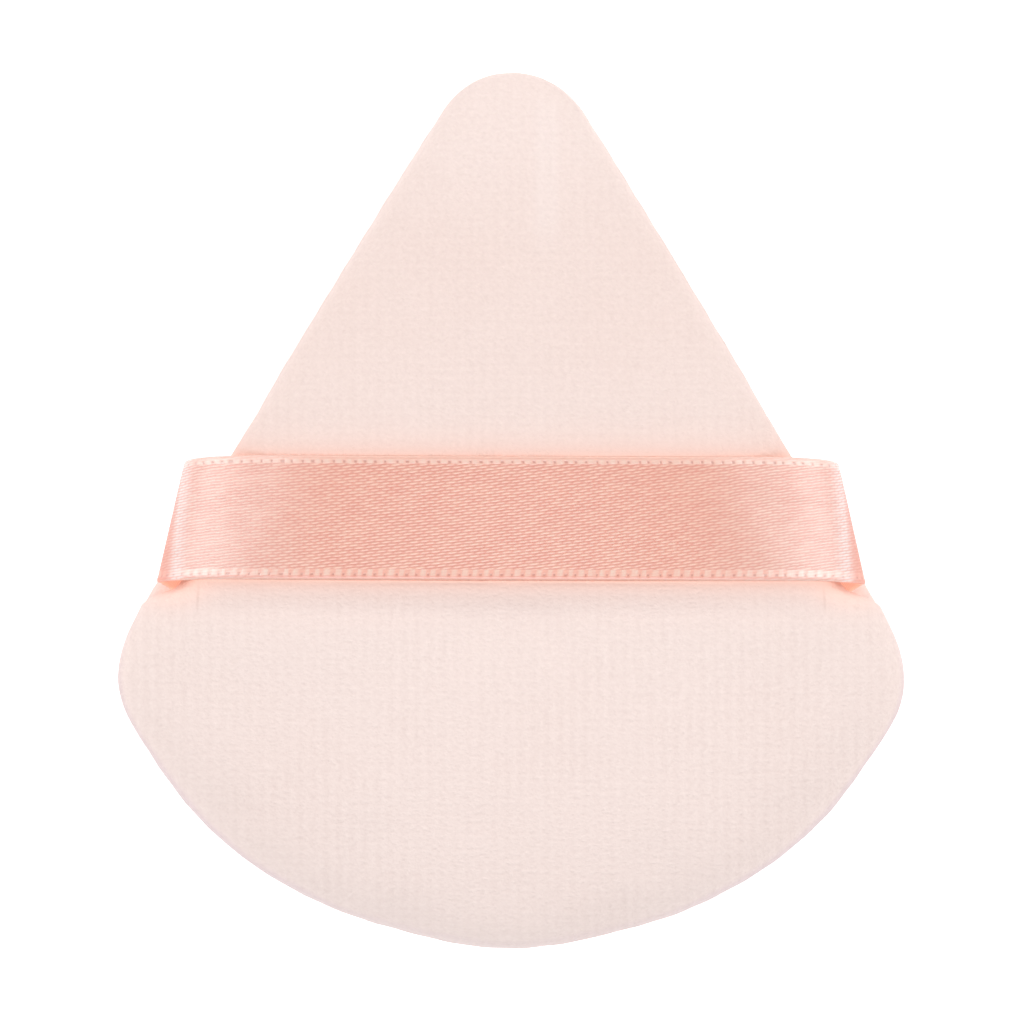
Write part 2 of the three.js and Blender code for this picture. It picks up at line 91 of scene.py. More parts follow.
STITCH_INSET = (SEAM_SETBACK - LIP_LEFT + VELOUR + CLEARANCE + THREAD_RADIUS + HOLE_CLEARANCE)
ALLOWANCE_EDGE = STITCH_INSET + 1.5

# %% Sizes of the ribbon, in millimetres
RIBBON_WIDTH = 11.2
RIBBON_THICKNESS = 0.35
PILE_GAP = 0.45
RIBBON_Y = PUFF_LENGTH / 2 - 40.8
FOLD_OVERHANG = 1.72
FOLD_LEAN = radians(12.8)
FOLD_SAG = 0.35
FOLD_HEIGHT = 3.4
FOLD_RADIUS = 0.5
FOLD_START = radians(70)
FOLD_END = radians(135)
LIFT_OFF = radians(16)
NUB_TURN = radians(10)
GAP_HALF = RIBBON_WIDTH / 2 + 0.6
GAP_EASE = 4.0
DENT_TOWARDS_TIP = (4.6, 7.0)
DENT_TOWARDS_BASE = (6.4, 8.2)
DENT_DEPTH = SEAM_SETBACK - LIP_LEFT
DENT_POWER = 6
CORNER_DROP = 0.2

# %% [markdown]
# ## The outline
#
# Each arc touches the next one, so the rim has no corner. A point on the rim comes with its
# outward normal: the seam, the stitches and the inside of the velour are all drawn inset from it.

# %% The chain of arcs
def joining_arc(first, second, radius):
    """The centre of an arc of that radius that touches both arcs from outside."""
    reach_1 = radius - first[2]
    reach_2 = radius - second[2]
    dx, dy = second[0] - first[0], second[1] - first[1]
    span = hypot(dx, dy)
    along = (reach_1 ** 2 - reach_2 ** 2 + span ** 2) / (2 * span)
    off = sqrt(reach_1 ** 2 - along ** 2)
    return (first[0] + (dx * along + dy * off) / span,
            first[1] + (dy * along - dx * off) / span, radius)


def angle_to(centre, point):
    return np.arctan2(point[1] - centre[1], point[0] - centre[0])


TIP_ARC = (0.0, PUFF_LENGTH / 2 - TIP_RADIUS, TIP_RADIUS)
CORNER_ARC = (PUFF_WIDTH / 2 - CORNER_RADIUS, CORNER_ABOVE_BASE - PUFF_LENGTH / 2, CORNER_RADIUS)
BASE_TIP = (0.0, -PUFF_LENGTH / 2, 0.0)
SIDE_ARC = joining_arc(TIP_ARC, CORNER_ARC, SIDE_BOW_RADIUS)
BASE_ARC = joining_arc(CORNER_ARC, BASE_TIP, BASE_RADIUS)
TURNS = [pi / 2, angle_to(SIDE_ARC, TIP_ARC), angle_to(SIDE_ARC, CORNER_ARC),
         angle_to(BASE_ARC, CORNER_ARC), angle_to(BASE_ARC, BASE_TIP)]
ARCS = list(zip([TIP_ARC, SIDE_ARC, CORNER_ARC, BASE_ARC], TURNS, TURNS[1:]))


def half_length(inset=0.0):
    return sum((start - end) * (arc[2] - inset) for arc, start, end in ARCS)


def rim(distances, inset=0.0):
    """Rim points (x, y, nx, ny), drawn inset, at distances clockwise from the tip."""
    half = half_length(inset)
    distances = np.mod(distances, 2 * half)
    left_side = distances > half
    left = np.where(left_side, 2 * half - distances, distances)
    points = np.zeros((len(left), 4))
    start_of_arc = 0.0
    for arc, start, end in ARCS:
        reach = arc[2] - inset
        angle = start - (left - start_of_arc) / reach
        on_arc = angle <= start + 1e-9
        found = np.stack([arc[0] + reach * np.cos(angle), arc[1] + reach * np.sin(angle),
                          np.cos(angle), np.sin(angle)], axis=1)
        points[on_arc] = found[on_arc]
        start_of_arc += (start - end) * reach
    points[left_side, 0] *= -1
    points[left_side, 2] *= -1
    return points


print("Rim length in mm:", round(2 * half_length(), 1))

# %% [markdown]
# ## Node helpers
#
# Materials here are small networks. Linking every node by hand is long and hard to read, so the
# output of a node becomes a Value, and a sum or product of Values adds the Math nodes for it. An
# effect that more than one material could use becomes a node group with named sockets.

# %% Node helpers
class Value:
    """What one socket gives. Sums and products of Values become Math nodes."""

    def __init__(self, net, socket):
        self.net, self.socket = net, socket

    def __add__(self, other):
        return self.net.math("ADD", self, other)

    def __sub__(self, other):
        return self.net.math("SUBTRACT", self, other)

    def __rsub__(self, other):
        return self.net.math("SUBTRACT", other, self)

    def __mul__(self, other):
        return self.net.math("MULTIPLY", self, other)

    def __truediv__(self, other):
        return self.net.math("DIVIDE", self, other)

    def __rtruediv__(self, other):
        return self.net.math("DIVIDE", other, self)

    def __pow__(self, other):
        return self.net.math("POWER", self, other)

    def __abs__(self):
        return self.net.math("ABSOLUTE", self)


class Network:
    """Adds nodes to a tree. What goes into a socket is a number, a tuple or a Value."""

    def __init__(self, tree):
        self.tree = tree

    def connect(self, sockets, values):
        for key, value in values.items():
            if isinstance(value, Value):
                self.tree.links.new(value.socket, sockets[key])
            else:
                sockets[key].default_value = value

    def node(self, kind, values, **settings):
        made = self.tree.nodes.new(kind)
        for key, value in settings.items():
            setattr(made, key, value)
        self.connect(made.inputs, values)
        return made

    def value(self, kind, output, values, **settings):
        return Value(self, self.node(kind, values, **settings).outputs[output])

    def named(self, made):
        """The outputs of a node by name."""
        return {socket.name: Value(self, socket) for socket in made.outputs}

    def group(self, group, values):
        return self.named(self.node("ShaderNodeGroup", values, node_tree=group))

    def math(self, operation, *values, clamp=False):
        return self.value("ShaderNodeMath", 0, dict(enumerate(values)), operation=operation,
                          use_clamp=clamp)

    def clamped(self, value):
        return self.math("ADD", value, 0.0, clamp=True)

    def wave(self, turns):
        return self.math("SINE", turns * (2 * pi))

    def vector(self, operation, first, second):
        return self.value("ShaderNodeVectorMath", 0, {
            0: first, "Scale" if operation == "SCALE" else 1: second}, operation=operation)

    def axes(self, vector):
        return list(self.named(self.node("ShaderNodeSeparateXYZ", {0: vector})).values())

    def place_in_mm(self):
        place = self.value("ShaderNodeTexCoord", "Object", {})
        return self.vector("SCALE", place, 1 / MM)

    def span(self, value, low, high, to_low=0.0, to_high=1.0, kind="SMOOTHSTEP"):
        """Eases from to_low to to_high while the value goes from low to high."""
        return self.value("ShaderNodeMapRange", "Result", {
            "Value": value, "From Min": low, "From Max": high,
            "To Min": to_low, "To Max": to_high}, interpolation_type=kind)

    def mix(self, share, first, second, blend="MIX"):
        return self.value("ShaderNodeMix", 2, {0: share, 6: first, 7: second},
                          data_type="RGBA", blend_type=blend)

    def noise(self, place, scale, detail=2.0, roughness=0.5, output="Fac"):
        return self.value("ShaderNodeTexNoise", output, {
            "Vector": place, "Scale": scale, "Detail": detail, "Roughness": roughness})

    def stretched_noise(self, place, scales, detail=1.0):
        """Noise between -0.5 and 0.5 with its own scale on each axis."""
        return self.noise(self.vector("MULTIPLY", place, scales), 1.0, detail, 0.55) - 0.5

    def noise_along(self, length, scale):
        """Noise between -0.5 and 0.5 that changes with one length only."""
        return self.value("ShaderNodeTexNoise", "Fac", {"W": length * scale, "Scale": 1.0},
                          noise_dimensions="1D") - 0.5

    def chance(self, number):
        """A value from 0 to 1 that jumps from one whole number to the next."""
        return self.value("ShaderNodeTexWhiteNoise", "Value", {"W": number},
                          noise_dimensions="1D")

    def bump(self, height, strength, distance):
        return self.value("ShaderNodeBump", "Normal", {
            "Height": height, "Strength": strength, "Distance": distance * MM})


def new_material(name):
    """A material with a Principled shader. Returns it, its network and the shader's inputs."""
    made = bpy.data.materials.new(name)
    made.use_nodes = True
    return made, Network(made.node_tree), made.node_tree.nodes["Principled BSDF"].inputs


def node_group(name, inputs, outputs):
    """A node group. An input is a number with this default, or a vector where it is None."""
    group = bpy.data.node_groups.new(name, "ShaderNodeTree")
    for key, default in inputs.items():
        kind = "NodeSocketVector" if default is None else "NodeSocketFloat"
        socket = group.interface.new_socket(key, in_out="INPUT", socket_type=kind)
        if default is not None:
            socket.default_value = default
    for key in outputs:
        group.interface.new_socket(key, in_out="OUTPUT", socket_type="NodeSocketFloat")
    net = Network(group)
    inside = net.named(net.node("NodeGroupInput", {}))
    return group, net, inside, net.node("NodeGroupOutput", {}).inputs


def srgb(red, green, blue):
    """A screen colour, 0 to 255, as the linear colour that a shader wants."""
    linear = [((c / 255 + 0.055) / 1.055) ** 2.4 if c > 10 else c / 255 / 12.92
              for c in (red, green, blue)]
    return (*linear, 1)


print("Helpers ready")

# %% [markdown]
# ## Camera
#
# The photograph looks straight down on the ribbon side, from far enough that the rim shows no
# perspective. A long lens does the same. The small turn and offset repeat how the puff lay under
# the real camera.

# %% Camera straight above the puff
FRAME_WIDTH = 93.65
camera_data = bpy.data.cameras.new("top_camera")
camera_data.sensor_width = 36.0
camera_data.lens = 240.0
camera = bpy.data.objects.new("top_camera", camera_data)
bpy.context.scene.collection.objects.link(camera)
bpy.context.scene.camera = camera
camera_distance = camera_data.lens / camera_data.sensor_width * FRAME_WIDTH * MM
camera.location = (0.05 * MM, -0.16 * MM, SEAM_HEIGHT * MM + camera_distance)
camera.rotation_euler = (0, 0, radians(0.17))
camera_data.clip_end = 10
print("Camera height in mm:", round(camera.location.z / MM))

# %% [markdown]
# ## Floor and light
#
# The puff was shot on white between large softboxes: one on each side, low enough to put a gloss
# on the ribbon where it bends down, one beyond the tip and one high over the base. A pale floor
# that glows a little keeps the paper white right up to the rim.

# %% Floor
def mesh_object(name, vertices, faces, smooth=True):
    """A mesh object from vertices in millimetres."""
    mesh = bpy.data.meshes.new(name)
    mesh.from_pydata((np.asarray(vertices) * MM).tolist(), [], faces)
    mesh.polygons.foreach_set("use_smooth", [smooth] * len(mesh.polygons))
    mesh.update()
    made = bpy.data.objects.new(name, mesh)
    bpy.context.scene.collection.objects.link(made)
    return made


FLOOR_HALF = 900.0
floor = mesh_object("floor", [(-FLOOR_HALF, -FLOOR_HALF, 0), (FLOOR_HALF, -FLOOR_HALF, 0),
                              (FLOOR_HALF, FLOOR_HALF, 0), (-FLOOR_HALF, FLOOR_HALF, 0)],
                    [(0, 1, 2, 3)], smooth=False)
floor_paper, net, shader = new_material("floor_paper")
net.connect(shader, {"Base Color": (0.93, 0.93, 0.93, 1), "Roughness": 0.9,
                     "Specular IOR Level": 0.0, "Emission Color": (0.93, 0.97, 1.0, 1),
                     "Emission Strength": 0.45})
floor.data.materials.append(floor_paper)

# %% Softboxes and room light
SOFTBOX_DISTANCE = 0.8
ROOM_LIGHT = 0.433
for name, azimuth, elevation, size, radiance, colour in (
        ("right_softbox", 70, 33, (0.4, 0.5), 3.15, (1, 1, 1)),
        ("left_softbox", -70, 33, (0.4, 0.5), 3.15, (1, 1, 1)),
        ("tip_softbox", 0, 34, (0.7, 0.4), 1.3, (0.93, 0.97, 1.0)),
        ("base_softbox", 180, 60, (0.6, 0.4), 3.33, (0.87, 0.945, 1.0))):
    softbox = bpy.data.lights.new(name, "AREA")
    softbox.shape = "RECTANGLE"
    softbox.size, softbox.size_y = size
    softbox.energy = radiance * pi * size[0] * size[1]
    softbox.color = colour
    light = bpy.data.objects.new(name, softbox)
    bpy.context.scene.collection.objects.link(light)
    turn, rise = radians(azimuth), radians(elevation)    # azimuth 0 is beyond the tip
    light.location = (sin(turn) * cos(rise) * SOFTBOX_DISTANCE,
                      cos(turn) * cos(rise) * SOFTBOX_DISTANCE, sin(rise) * SOFTBOX_DISTANCE)
    light.rotation_euler = (-Vector(light.location)).to_track_quat("-Z", "Y").to_euler()
world = bpy.data.worlds.new("room")
bpy.context.scene.world = world
world.use_nodes = True
room = world.node_tree.nodes["Background"].inputs
room["Color"].default_value = (0.9, 0.96, 1.0, 1)
room["Strength"].default_value = ROOM_LIGHT
bpy.context.scene.view_settings.view_transform = "Standard"
bpy.context.scene.view_settings.look = "None"

# %% [markdown]
# ## Ring grids
#
# Both velour panels and the foam are closed forms that run from a centre to the rim and back. A
# ring grid suits them: every ring has the same columns, so the form is written as a short list of
# rings from one pole to the other. A voxel remesh or sculpting would lose the fine rim.

# %% Ring grid of a closed form
def smooth_step(value, low, high):
    t = np.clip((value - low) / (high - low), 0, 1)
    return t * t * (3 - 2 * t)


COLUMNS = 420
RIM_DISTANCE = np.arange(COLUMNS) * 2 * half_length() / COLUMNS
from_tip = np.minimum(RIM_DISTANCE, 2 * half_length() - RIM_DISTANCE)
# How far the sewn and filled rim is drawn in from the pattern: a little nearly everywhere, less
# beyond the widest place, and a bit more or less (depth, place, width) at places down each side.
TRIM = 0.12 - 0.14 * smooth_step(from_tip, 78.0, 84.0)
for depth, place, width in ((0.15, 42, 5), (-0.14, 59, 2.5), (0.16, 64.5, 3), (0.1, 73, 8),
                            (-0.14, 81, 4), (-0.17, 88, 6), (0.26, half_length() - 10, 5.5)):
    TRIM = TRIM + depth * np.exp(-((from_tip - place) / width) ** 2)
rim_points = rim(RIM_DISTANCE)
RIM_N = rim_points[:, 2:]
RIM_XY = rim_points[:, :2] - RIM_N * TRIM[:, None]
CENTRE = np.array([0.0, CROWN_CENTRE_Y])


def side_distance(xy):
    """How far along the side a point lies, counted from the tip arc's end."""
    x = np.abs(xy[..., 0]) - SIDE_ARC[0]
    return (TURNS[1] - np.arctan2(xy[..., 1] - SIDE_ARC[1], x)) * SIDE_ARC[2]


def ring(plan, z):
    """A ring of points from its plan and its height above the seam plane."""
    return np.column_stack([plan, z + np.zeros(len(plan))])


def ring_object(name, top, rings, bottom, faces_up=True):
    """A closed mesh object from rings between two poles, given by their heights."""
    count = rings[0].shape[0]
    vertices = np.vstack([[(*CENTRE, top)], *rings, [(*CENTRE, bottom)]])
    faces = []
    last = 1 + (len(rings) - 1) * count
    for i in range(count):
        j = (i + 1) % count
        faces.append((0, 1 + j, 1 + i))
        for here in range(1, last, count):
            there = here + count
            faces.append((here + i, here + j, there + j, there + i))
        faces.append((last + i, last + j, len(vertices) - 1))
    if not faces_up:
        faces = [face[::-1] for face in faces]
    return mesh_object(name, vertices + (0, 0, SEAM_HEIGHT), faces)


print("Columns round the rim:", COLUMNS)

# %% [markdown]
# ## Where the ribbon leaves the seam
#
# The ribbon's ends are sewn between the panels. There the upper lip of the rim is pulled in and
# the seam opens by the ribbon's thickness. The solids do the same. Here the pull is kept a little
# narrower, because soft pile closes again right beside the ribbon.

# %% The ribbon's entry into the seam
def fold_axis(across):
    x = FOLD_X - across * tan(FOLD_LEAN)
    return np.array([x, RIBBON_Y + across - FOLD_SAG])


def fold_point(across, turn):
    x, y = fold_axis(across)
    out = FOLD_RADIUS * sin(turn)
    return np.array([x + cos(FOLD_LEAN) * out, y + sin(FOLD_LEAN) * out,
                     FOLD_HEIGHT + FOLD_RADIUS * cos(turn)])


def homeward(across):
    """Heading of the under layer. Its lower edge is drawn down a little and makes a small nub."""
    turn = 2 * FOLD_LEAN + NUB_TURN * smooth_step(-across, RIBBON_WIDTH / 4, RIBBON_WIDTH / 2)
    return np.array([-cos(turn), -sin(turn)])


def run_to_inset(point, heading, inset):
    """How far the under layer runs from a point of the fold to the line inset from the side."""
    dx, dy = point[0] - SIDE_ARC[0], point[1] - SIDE_ARC[1]
    b = dx * heading[0] + dy * heading[1]
    return -b - sqrt(b * b - (dx * dx + dy * dy - (SIDE_ARC[2] - inset) ** 2))


SIDE_X = SIDE_ARC[0] + sqrt(SIDE_ARC[2] ** 2 - (RIBBON_Y - SIDE_ARC[1]) ** 2)
FOLD_X = SIDE_X + FOLD_OVERHANG - FOLD_RADIUS
leaving = fold_point(0.0, FOLD_END)
entry = leaving[:2] + homeward(0.0) * run_to_inset(leaving, homeward(0.0), SEAM_SETBACK)
RIBBON_ALONG = side_distance(entry)


def nearness(xy, towards_tip, towards_base):
    """1 where the ribbon lies in the seam, easing to 0 on either side of it."""
    past = side_distance(xy) - RIBBON_ALONG
    return (1 - smooth_step(-past, *towards_tip)) * (1 - smooth_step(past, *towards_base))


def half_gap(xy):
    """Half of the gap between the panels, wider where the ribbon passes."""
    near = nearness(xy, *[(GAP_HALF, GAP_HALF + GAP_EASE)] * 2)
    return PANEL_GAP / 2 + (RIBBON_THICKNESS / 2 + CLEARANCE - PANEL_GAP / 2) * near


HALF_GAP = half_gap(RIM_XY)
print("The ribbon enters the seam", round(float(RIBBON_ALONG), 1), "mm down the side, at",
      entry.round(1))

# %% [markdown]
# ## The crown
#
# A filled puff is fullest in the middle, stays nearly flat for most of its width and then falls
# quickly to the seam. A superellipse gives that with one power. The rings are spaced evenly along
# the curve, so the steep edge has as many as the flat top.

# %% The crown's height and its rings
CROWN_REACH = 33.0
CROWN_RISE = 7.4


def crown_share(r):
    return (1 - np.clip(r, 0, 1) ** CROWN_POWER) ** (1 / CROWN_POWER)


def tip_taper(y):
    end = PUFF_LENGTH / 2
    return 1 - TAPER_SHARE * smooth_step(y, end - TAPER_LENGTH, end)


def crown_height(y, r, bottom, top):
    return bottom + (top - bottom) * tip_taper(y) * crown_share(r)


def dent_share(xy, normal, inset, depth):
    reach = ((xy - CENTRE) * normal).sum(axis=-1) - inset
    return depth * nearness(xy, DENT_TOWARDS_TIP, DENT_TOWARDS_BASE) / reach


def crown_plan(r, inset, depth):
    edge = RIM_XY - RIM_N * inset
    share = r * (1 - dent_share(RIM_XY, RIM_N, inset, depth) * r ** DENT_POWER)
    return CENTRE + (edge - CENTRE) * share[:, None]


def even_rings(count):
    """Radius shares spaced evenly along the crown's profile, the last one being 1."""
    turn = np.linspace(0, pi / 2, 4000)
    r = np.sin(turn) ** (2 / CROWN_POWER)
    z = np.cos(turn) ** (2 / CROWN_POWER)
    steps = np.hypot(np.diff(r) * CROWN_REACH, np.diff(z) * CROWN_RISE)
    length = np.concatenate([[0], np.cumsum(steps)])
    return np.interp(np.linspace(0, length[-1], count + 1)[1:], length, r)


OUTER_SHARES = even_rings(110)
INNER_SHARES = even_rings(24)
print("Rings on a face:", len(OUTER_SHARES))

# %% [markdown]
# ## Velour panels
#
# Each panel is one piece of velour: the face, the lip that rolls into the seam, the allowance
# turned inside, and the back of the cloth. Giving the cloth its real thickness, and not a bare
# surface, keeps the rim soft and the seam deep. The face isn't perfectly even: foam and pile
# leave shallow waves, and the stitches draw small puckers at the rim.

# %% Unevenness of the filled cloth
FACE_WAVES = ((0.06, 9.0, 1), (0.035, 3.6, 2), (0.02, 1.3, 4))      # depth, size, seed
PILE_UNDER = 0.4
PILE_BESIDE = 0.58


def uneven(points, size, seed):
    """Smooth noise, about -1 to 1, at points in millimetres."""
    offset = Vector((seed * 17.3, seed * 5.1, seed * 9.7))
    return np.array([noise.noise(Vector(p) / size + offset) for p in points])


def face_relief(points):
    """How far the face stands out of the even crown, in millimetres."""
    return sum(depth * uneven(points, size, seed) for depth, size, seed in FACE_WAVES)


def from_ribbon(points):
    """Distance beyond the ribbon's long edges, negative under the ribbon."""
    return np.abs(points[:, 1] - RIBBON_Y) - RIBBON_WIDTH / 2


def pressed_pile(points):
    """The pile that stands up beside the ribbon and fills the gap under it a little."""
    away = from_ribbon(points)
    under = 1 - smooth_step(away, -0.3, 0.5)
    beside = smooth_step(away, -0.35, 0.2) * (1 - smooth_step(away, 0.4, 3.2))
    return PILE_UNDER * under + PILE_BESIDE * beside


def ring_normals(grid, up):
    """Outward normals of a ring grid of shape (rings, columns, 3)."""
    around = np.roll(grid, -1, axis=1) - np.roll(grid, 1, axis=1)
    along = np.gradient(grid, axis=0)
    normal = np.cross(along, around) * -up
    return normal / np.maximum(np.linalg.norm(normal, axis=2, keepdims=True), 1e-9)


# %% [markdown]
# ## Cloth simulation of the filled cover
#
# A cut cover never lies on its filling without small waves, most of all where the outline turns.
# A coarse cover is filled by a cloth simulation that is held at the seam, a little by the foam and
# more by the ribbon. It is much coarser than the panels, and only its waves are
# kept, because the solids already give the full form. Sculpting the waves by hand would do too,
# but they wouldn't know where the cloth is tight.

# %% Fill a coarse cover and keep its waves
COVER_STEP = 5
COVER_SHARES = even_rings(26)
SIMULATION_SCALE = 20 * MM        # a puff of 1.6 m, because small cloth is stiff
LARGEST_WAVE = 0.2
FOAM_HOLD = 0.1
RIBBON_HOLD = 0.5
PRESSURE = 4
SHRINK = -0.04        # the cover is cut a little larger than its form
FRAMES = 20


def cover_side(side, bulge, depth):
    rings = []
    for r in COVER_SHARES:
        plan = crown_plan(r, 0.0, depth)[::COVER_STEP]
        height = crown_height(plan[:, 1], r, LIP_HEIGHT, bulge)
        rings.append(ring(plan, side * height))
    return rings


def hold(points, r, side):
    """How firmly a point is held: by the foam in the middle, more under the ribbon."""
    foam = np.full(len(points), FOAM_HOLD * (1 - r ** 4))
    under = 1 - smooth_step(from_ribbon(points), -1.0, 1.0) if side > 0 else 0.0
    return np.maximum(foam, RIBBON_HOLD * under)


def averaged(grid, turns_around, turns_along):
    """The grid of rings and columns, smoothed by neighbours."""
    for _ in range(turns_around):
        grid = (grid + np.roll(grid, 1, axis=1) + np.roll(grid, -1, axis=1)) / 3
    for _ in range(turns_along):
        wide = np.pad(grid, ((1, 1), (0, 0)), mode="edge")
        grid = (wide[:-2] + wide[1:-1] + wide[2:]) / 3
    return grid


def on_panel_grid(grid):
    """A coarse grid of waves brought to the rings and columns of a panel."""
    coarse = np.arange(grid.shape[1] + 1) * COVER_STEP
    around = np.array([np.interp(np.arange(COLUMNS), coarse, np.append(row, row[0]))
                       for row in grid])
    fine = np.array([np.interp(OUTER_SHARES, COVER_SHARES, column) for column in around.T]).T
    return averaged(fine, 14, 6)


def cover_waves():
    """Waves of both faces, in millimetres, on the panels' outer rings."""
    back = cover_side(1, BACK_BULGE, DENT_DEPTH)
    front = cover_side(-1, FRONT_BULGE, 0.0)
    seam = ring((RIM_XY - RIM_N * SEAM_SETBACK)[::COVER_STEP], 0.0)
    rings = [*back, seam, *front[::-1]]
    cover = ring_object("cover", BACK_BULGE, rings, -FRONT_BULGE)
    mesh = cover.data
    poles = [(*CENTRE, BACK_BULGE)], [(*CENTRE, -FRONT_BULGE)]
    start = np.vstack([poles[0], *rings, poles[1]]) * SIMULATION_SCALE
    mesh.vertices.foreach_set("co", start.ravel())
    mesh.update()
    normals = np.zeros(start.size)
    mesh.vertices.foreach_get("normal", normals)
    weights = [[FOAM_HOLD], *[hold(ring, r, 1) for ring, r in zip(back, COVER_SHARES)],
               np.ones(len(seam)),
               *[hold(ring, r, -1) for ring, r in zip(front, COVER_SHARES)][::-1],
               [FOAM_HOLD]]
    held = cover.vertex_groups.new(name="held")
    for i, weight in enumerate(np.concatenate(weights)):
        held.add([i], float(weight), "REPLACE")
    cloth = cover.modifiers.new("filling", "CLOTH")
    cloth.settings.vertex_group_mass = "held"
    cloth.settings.use_pressure = True
    cloth.settings.uniform_pressure_force = PRESSURE
    cloth.settings.effector_weights.gravity = 0
    cloth.settings.shrink_min = SHRINK
    cloth.settings.quality = 6
    cloth.collision_settings.use_collision = False
    for frame_number in range(FRAMES):
        bpy.context.scene.frame_set(frame_number + 1)
    filled = cover.evaluated_get(bpy.context.evaluated_depsgraph_get()).data
    end = np.zeros(start.size)
    filled.vertices.foreach_get("co", end)
    moved = ((end.reshape(-1, 3) - start) * normals.reshape(-1, 3)).sum(axis=1) / SIMULATION_SCALE
    bpy.context.scene.frame_set(1)
    bpy.data.objects.remove(cover)
    bpy.data.meshes.remove(mesh)
    rings = moved[1:-1].reshape(-1, len(seam))
    faces = rings[:len(back)], rings[len(back) + 1:][::-1]
    waves = [face - averaged(face, 12, 8) for face in faces]
    return [on_panel_grid(LARGEST_WAVE * np.tanh(wave / LARGEST_WAVE)) for wave in waves]


BACK_WAVES, FRONT_WAVES = cover_waves()
for label, waves in (("back", BACK_WAVES), ("front", FRONT_WAVES)):
    print("Waves of the", label, "in mm, lowest and highest:", round(float(waves.min()), 3),
          round(float(waves.max()), 3))

# %% Panel builder
LIP_STEPS = 9
PUCKER_DEPTH = 0.09
FACES_APART = 40
RIM_ON_EDGE = ring(RIM_XY, 0.0)


def velour_panel(name, side, bulge, depth, flat):
    """A panel. Side is 1 for the ribbon side and -1 for the application side."""
    def level(z):
        return side * np.minimum(z, bulge - flat)

    outer = []
    for r in OUTER_SHARES:
        plan = crown_plan(r, 0.0, depth)
        outer.append(ring(plan, crown_height(plan[:, 1], r, LIP_HEIGHT, bulge)))
    lip = crown_plan(1.0, 0.0, depth)
    seam = RIM_XY - RIM_N * SEAM_SETBACK
    for turn in np.linspace(0, pi / 2, LIP_STEPS + 1)[1:]:
        plan = seam + (lip - seam) * cos(turn)
        outer.append(ring(plan, LIP_HEIGHT - (LIP_HEIGHT - HALF_GAP) * sin(turn)))
    grid = np.array(outer)
    grid[..., 2] = level(grid[..., 2])
    normals = ring_normals(grid, side)
    tuck = np.concatenate([np.ones(len(OUTER_SHARES)), np.linspace(1, 0, LIP_STEPS)])
    relief = np.array([face_relief(points + (0, 0, FACES_APART * side)) for points in grid])
    if side > 0:
        relief = np.array([r * (0.3 + 0.7 * smooth_step(from_ribbon(points), -0.5, 1.5))
                           + pressed_pile(points) * smooth_step(normal[:, 2], 0.3, 0.9)
                           for r, points, normal in zip(relief, grid, normals)])
    puckers = PUCKER_DEPTH * (0.6 + 0.4 * uneven(RIM_ON_EDGE, 7.0, 3))
    puckers *= np.sin(RIM_DISTANCE * 2 * pi / STITCH_LENGTH)
    roll = np.concatenate([0 * OUTER_SHARES, np.sin(np.linspace(0, pi, LIP_STEPS + 1))[1:]])
    relief += roll[:, None] * puckers
    calm = smooth_step(from_ribbon(grid[:len(OUTER_SHARES)].reshape(-1, 3)), 0.5, 5.0)
    calm = calm.reshape(len(OUTER_SHARES), COLUMNS)
    relief[:len(OUTER_SHARES)] += BACK_WAVES * calm if side > 0 else FRONT_WAVES
    if side < 0:
        relief *= smooth_step(bulge - flat - np.abs(grid[..., 2]), 0.02, 0.9)
    grid += normals * (relief * tuck[:, None])[..., None]
    rings = list(grid)
    edge = RIM_XY - RIM_N * ALLOWANCE_EDGE
    rings.append(ring(edge, level(HALF_GAP)))
    rings.append(ring(edge, level(HALF_GAP + ALLOWANCE)))
    for r in INNER_SHARES[::-1]:
        plan = crown_plan(r, VELOUR, depth)
        bottom = HALF_GAP + ALLOWANCE
        rings.append(ring(plan, level(crown_height(plan[:, 1], r, bottom, bulge - VELOUR))))
    return ring_object(name, level(bulge), rings, level(bulge - VELOUR), side > 0)


back_velour = velour_panel("back_velour", 1, BACK_BULGE, DENT_DEPTH, 0.0)
front_velour = velour_panel("front_velour", -1, FRONT_BULGE, 0.0, REST_FLAT)
print("Faces on each panel:", len(back_velour.data.polygons))

# %% [markdown]
# ## Height of the back under the ribbon
#
# The ribbon has to lie on the crown, so its shape needs the crown's height at any place. The form
# is known as rings, so the ray from the centre through the place gives its share of the reach.

# %% Height of the back at a place
fine_rim = rim(np.linspace(0, half_length(), 1500))


def back_height(x, y):
    """Height of the back's face above the seam plane at x, y, or 0 beyond its rim."""
    dx, dy = abs(x), y - CENTRE[1]
    turned = dx * (fine_rim[:, 1] - CENTRE[1]) - dy * fine_rim[:, 0]
    i = int(np.argmax(turned <= 0)) or len(turned) - 1
    here = fine_rim[i]
    away = hypot(dx, dy) / hypot(here[0], here[1] - CENTRE[1])
    dent = dent_share(here[:2], here[2:], 0.0, DENT_DEPTH)
    r = away
    for _ in range(9):
        if r >= 1:
            return 0.0
        r = away / (1 - dent * r ** DENT_POWER)
    return float(crown_height(y, r, LIP_HEIGHT, BACK_BULGE)) if r < 1 else 0.0


print("Back's height in the middle of the ribbon:", round(back_height(0, RIBBON_Y), 2), "mm")

# %% [markdown]
# ## The satin ribbon
#
# A ribbon doesn't stretch sideways, so each lengthwise row is followed on its own: it rests on
# the crown, rounds a shoulder, folds over a leaning line beyond the rim, and the under layer
# returns to the seam. The rows are joined to a cloth with a real thickness and a small bead along
# both woven edges. Cloth simulation would soften the fold and lose the crisp edges.

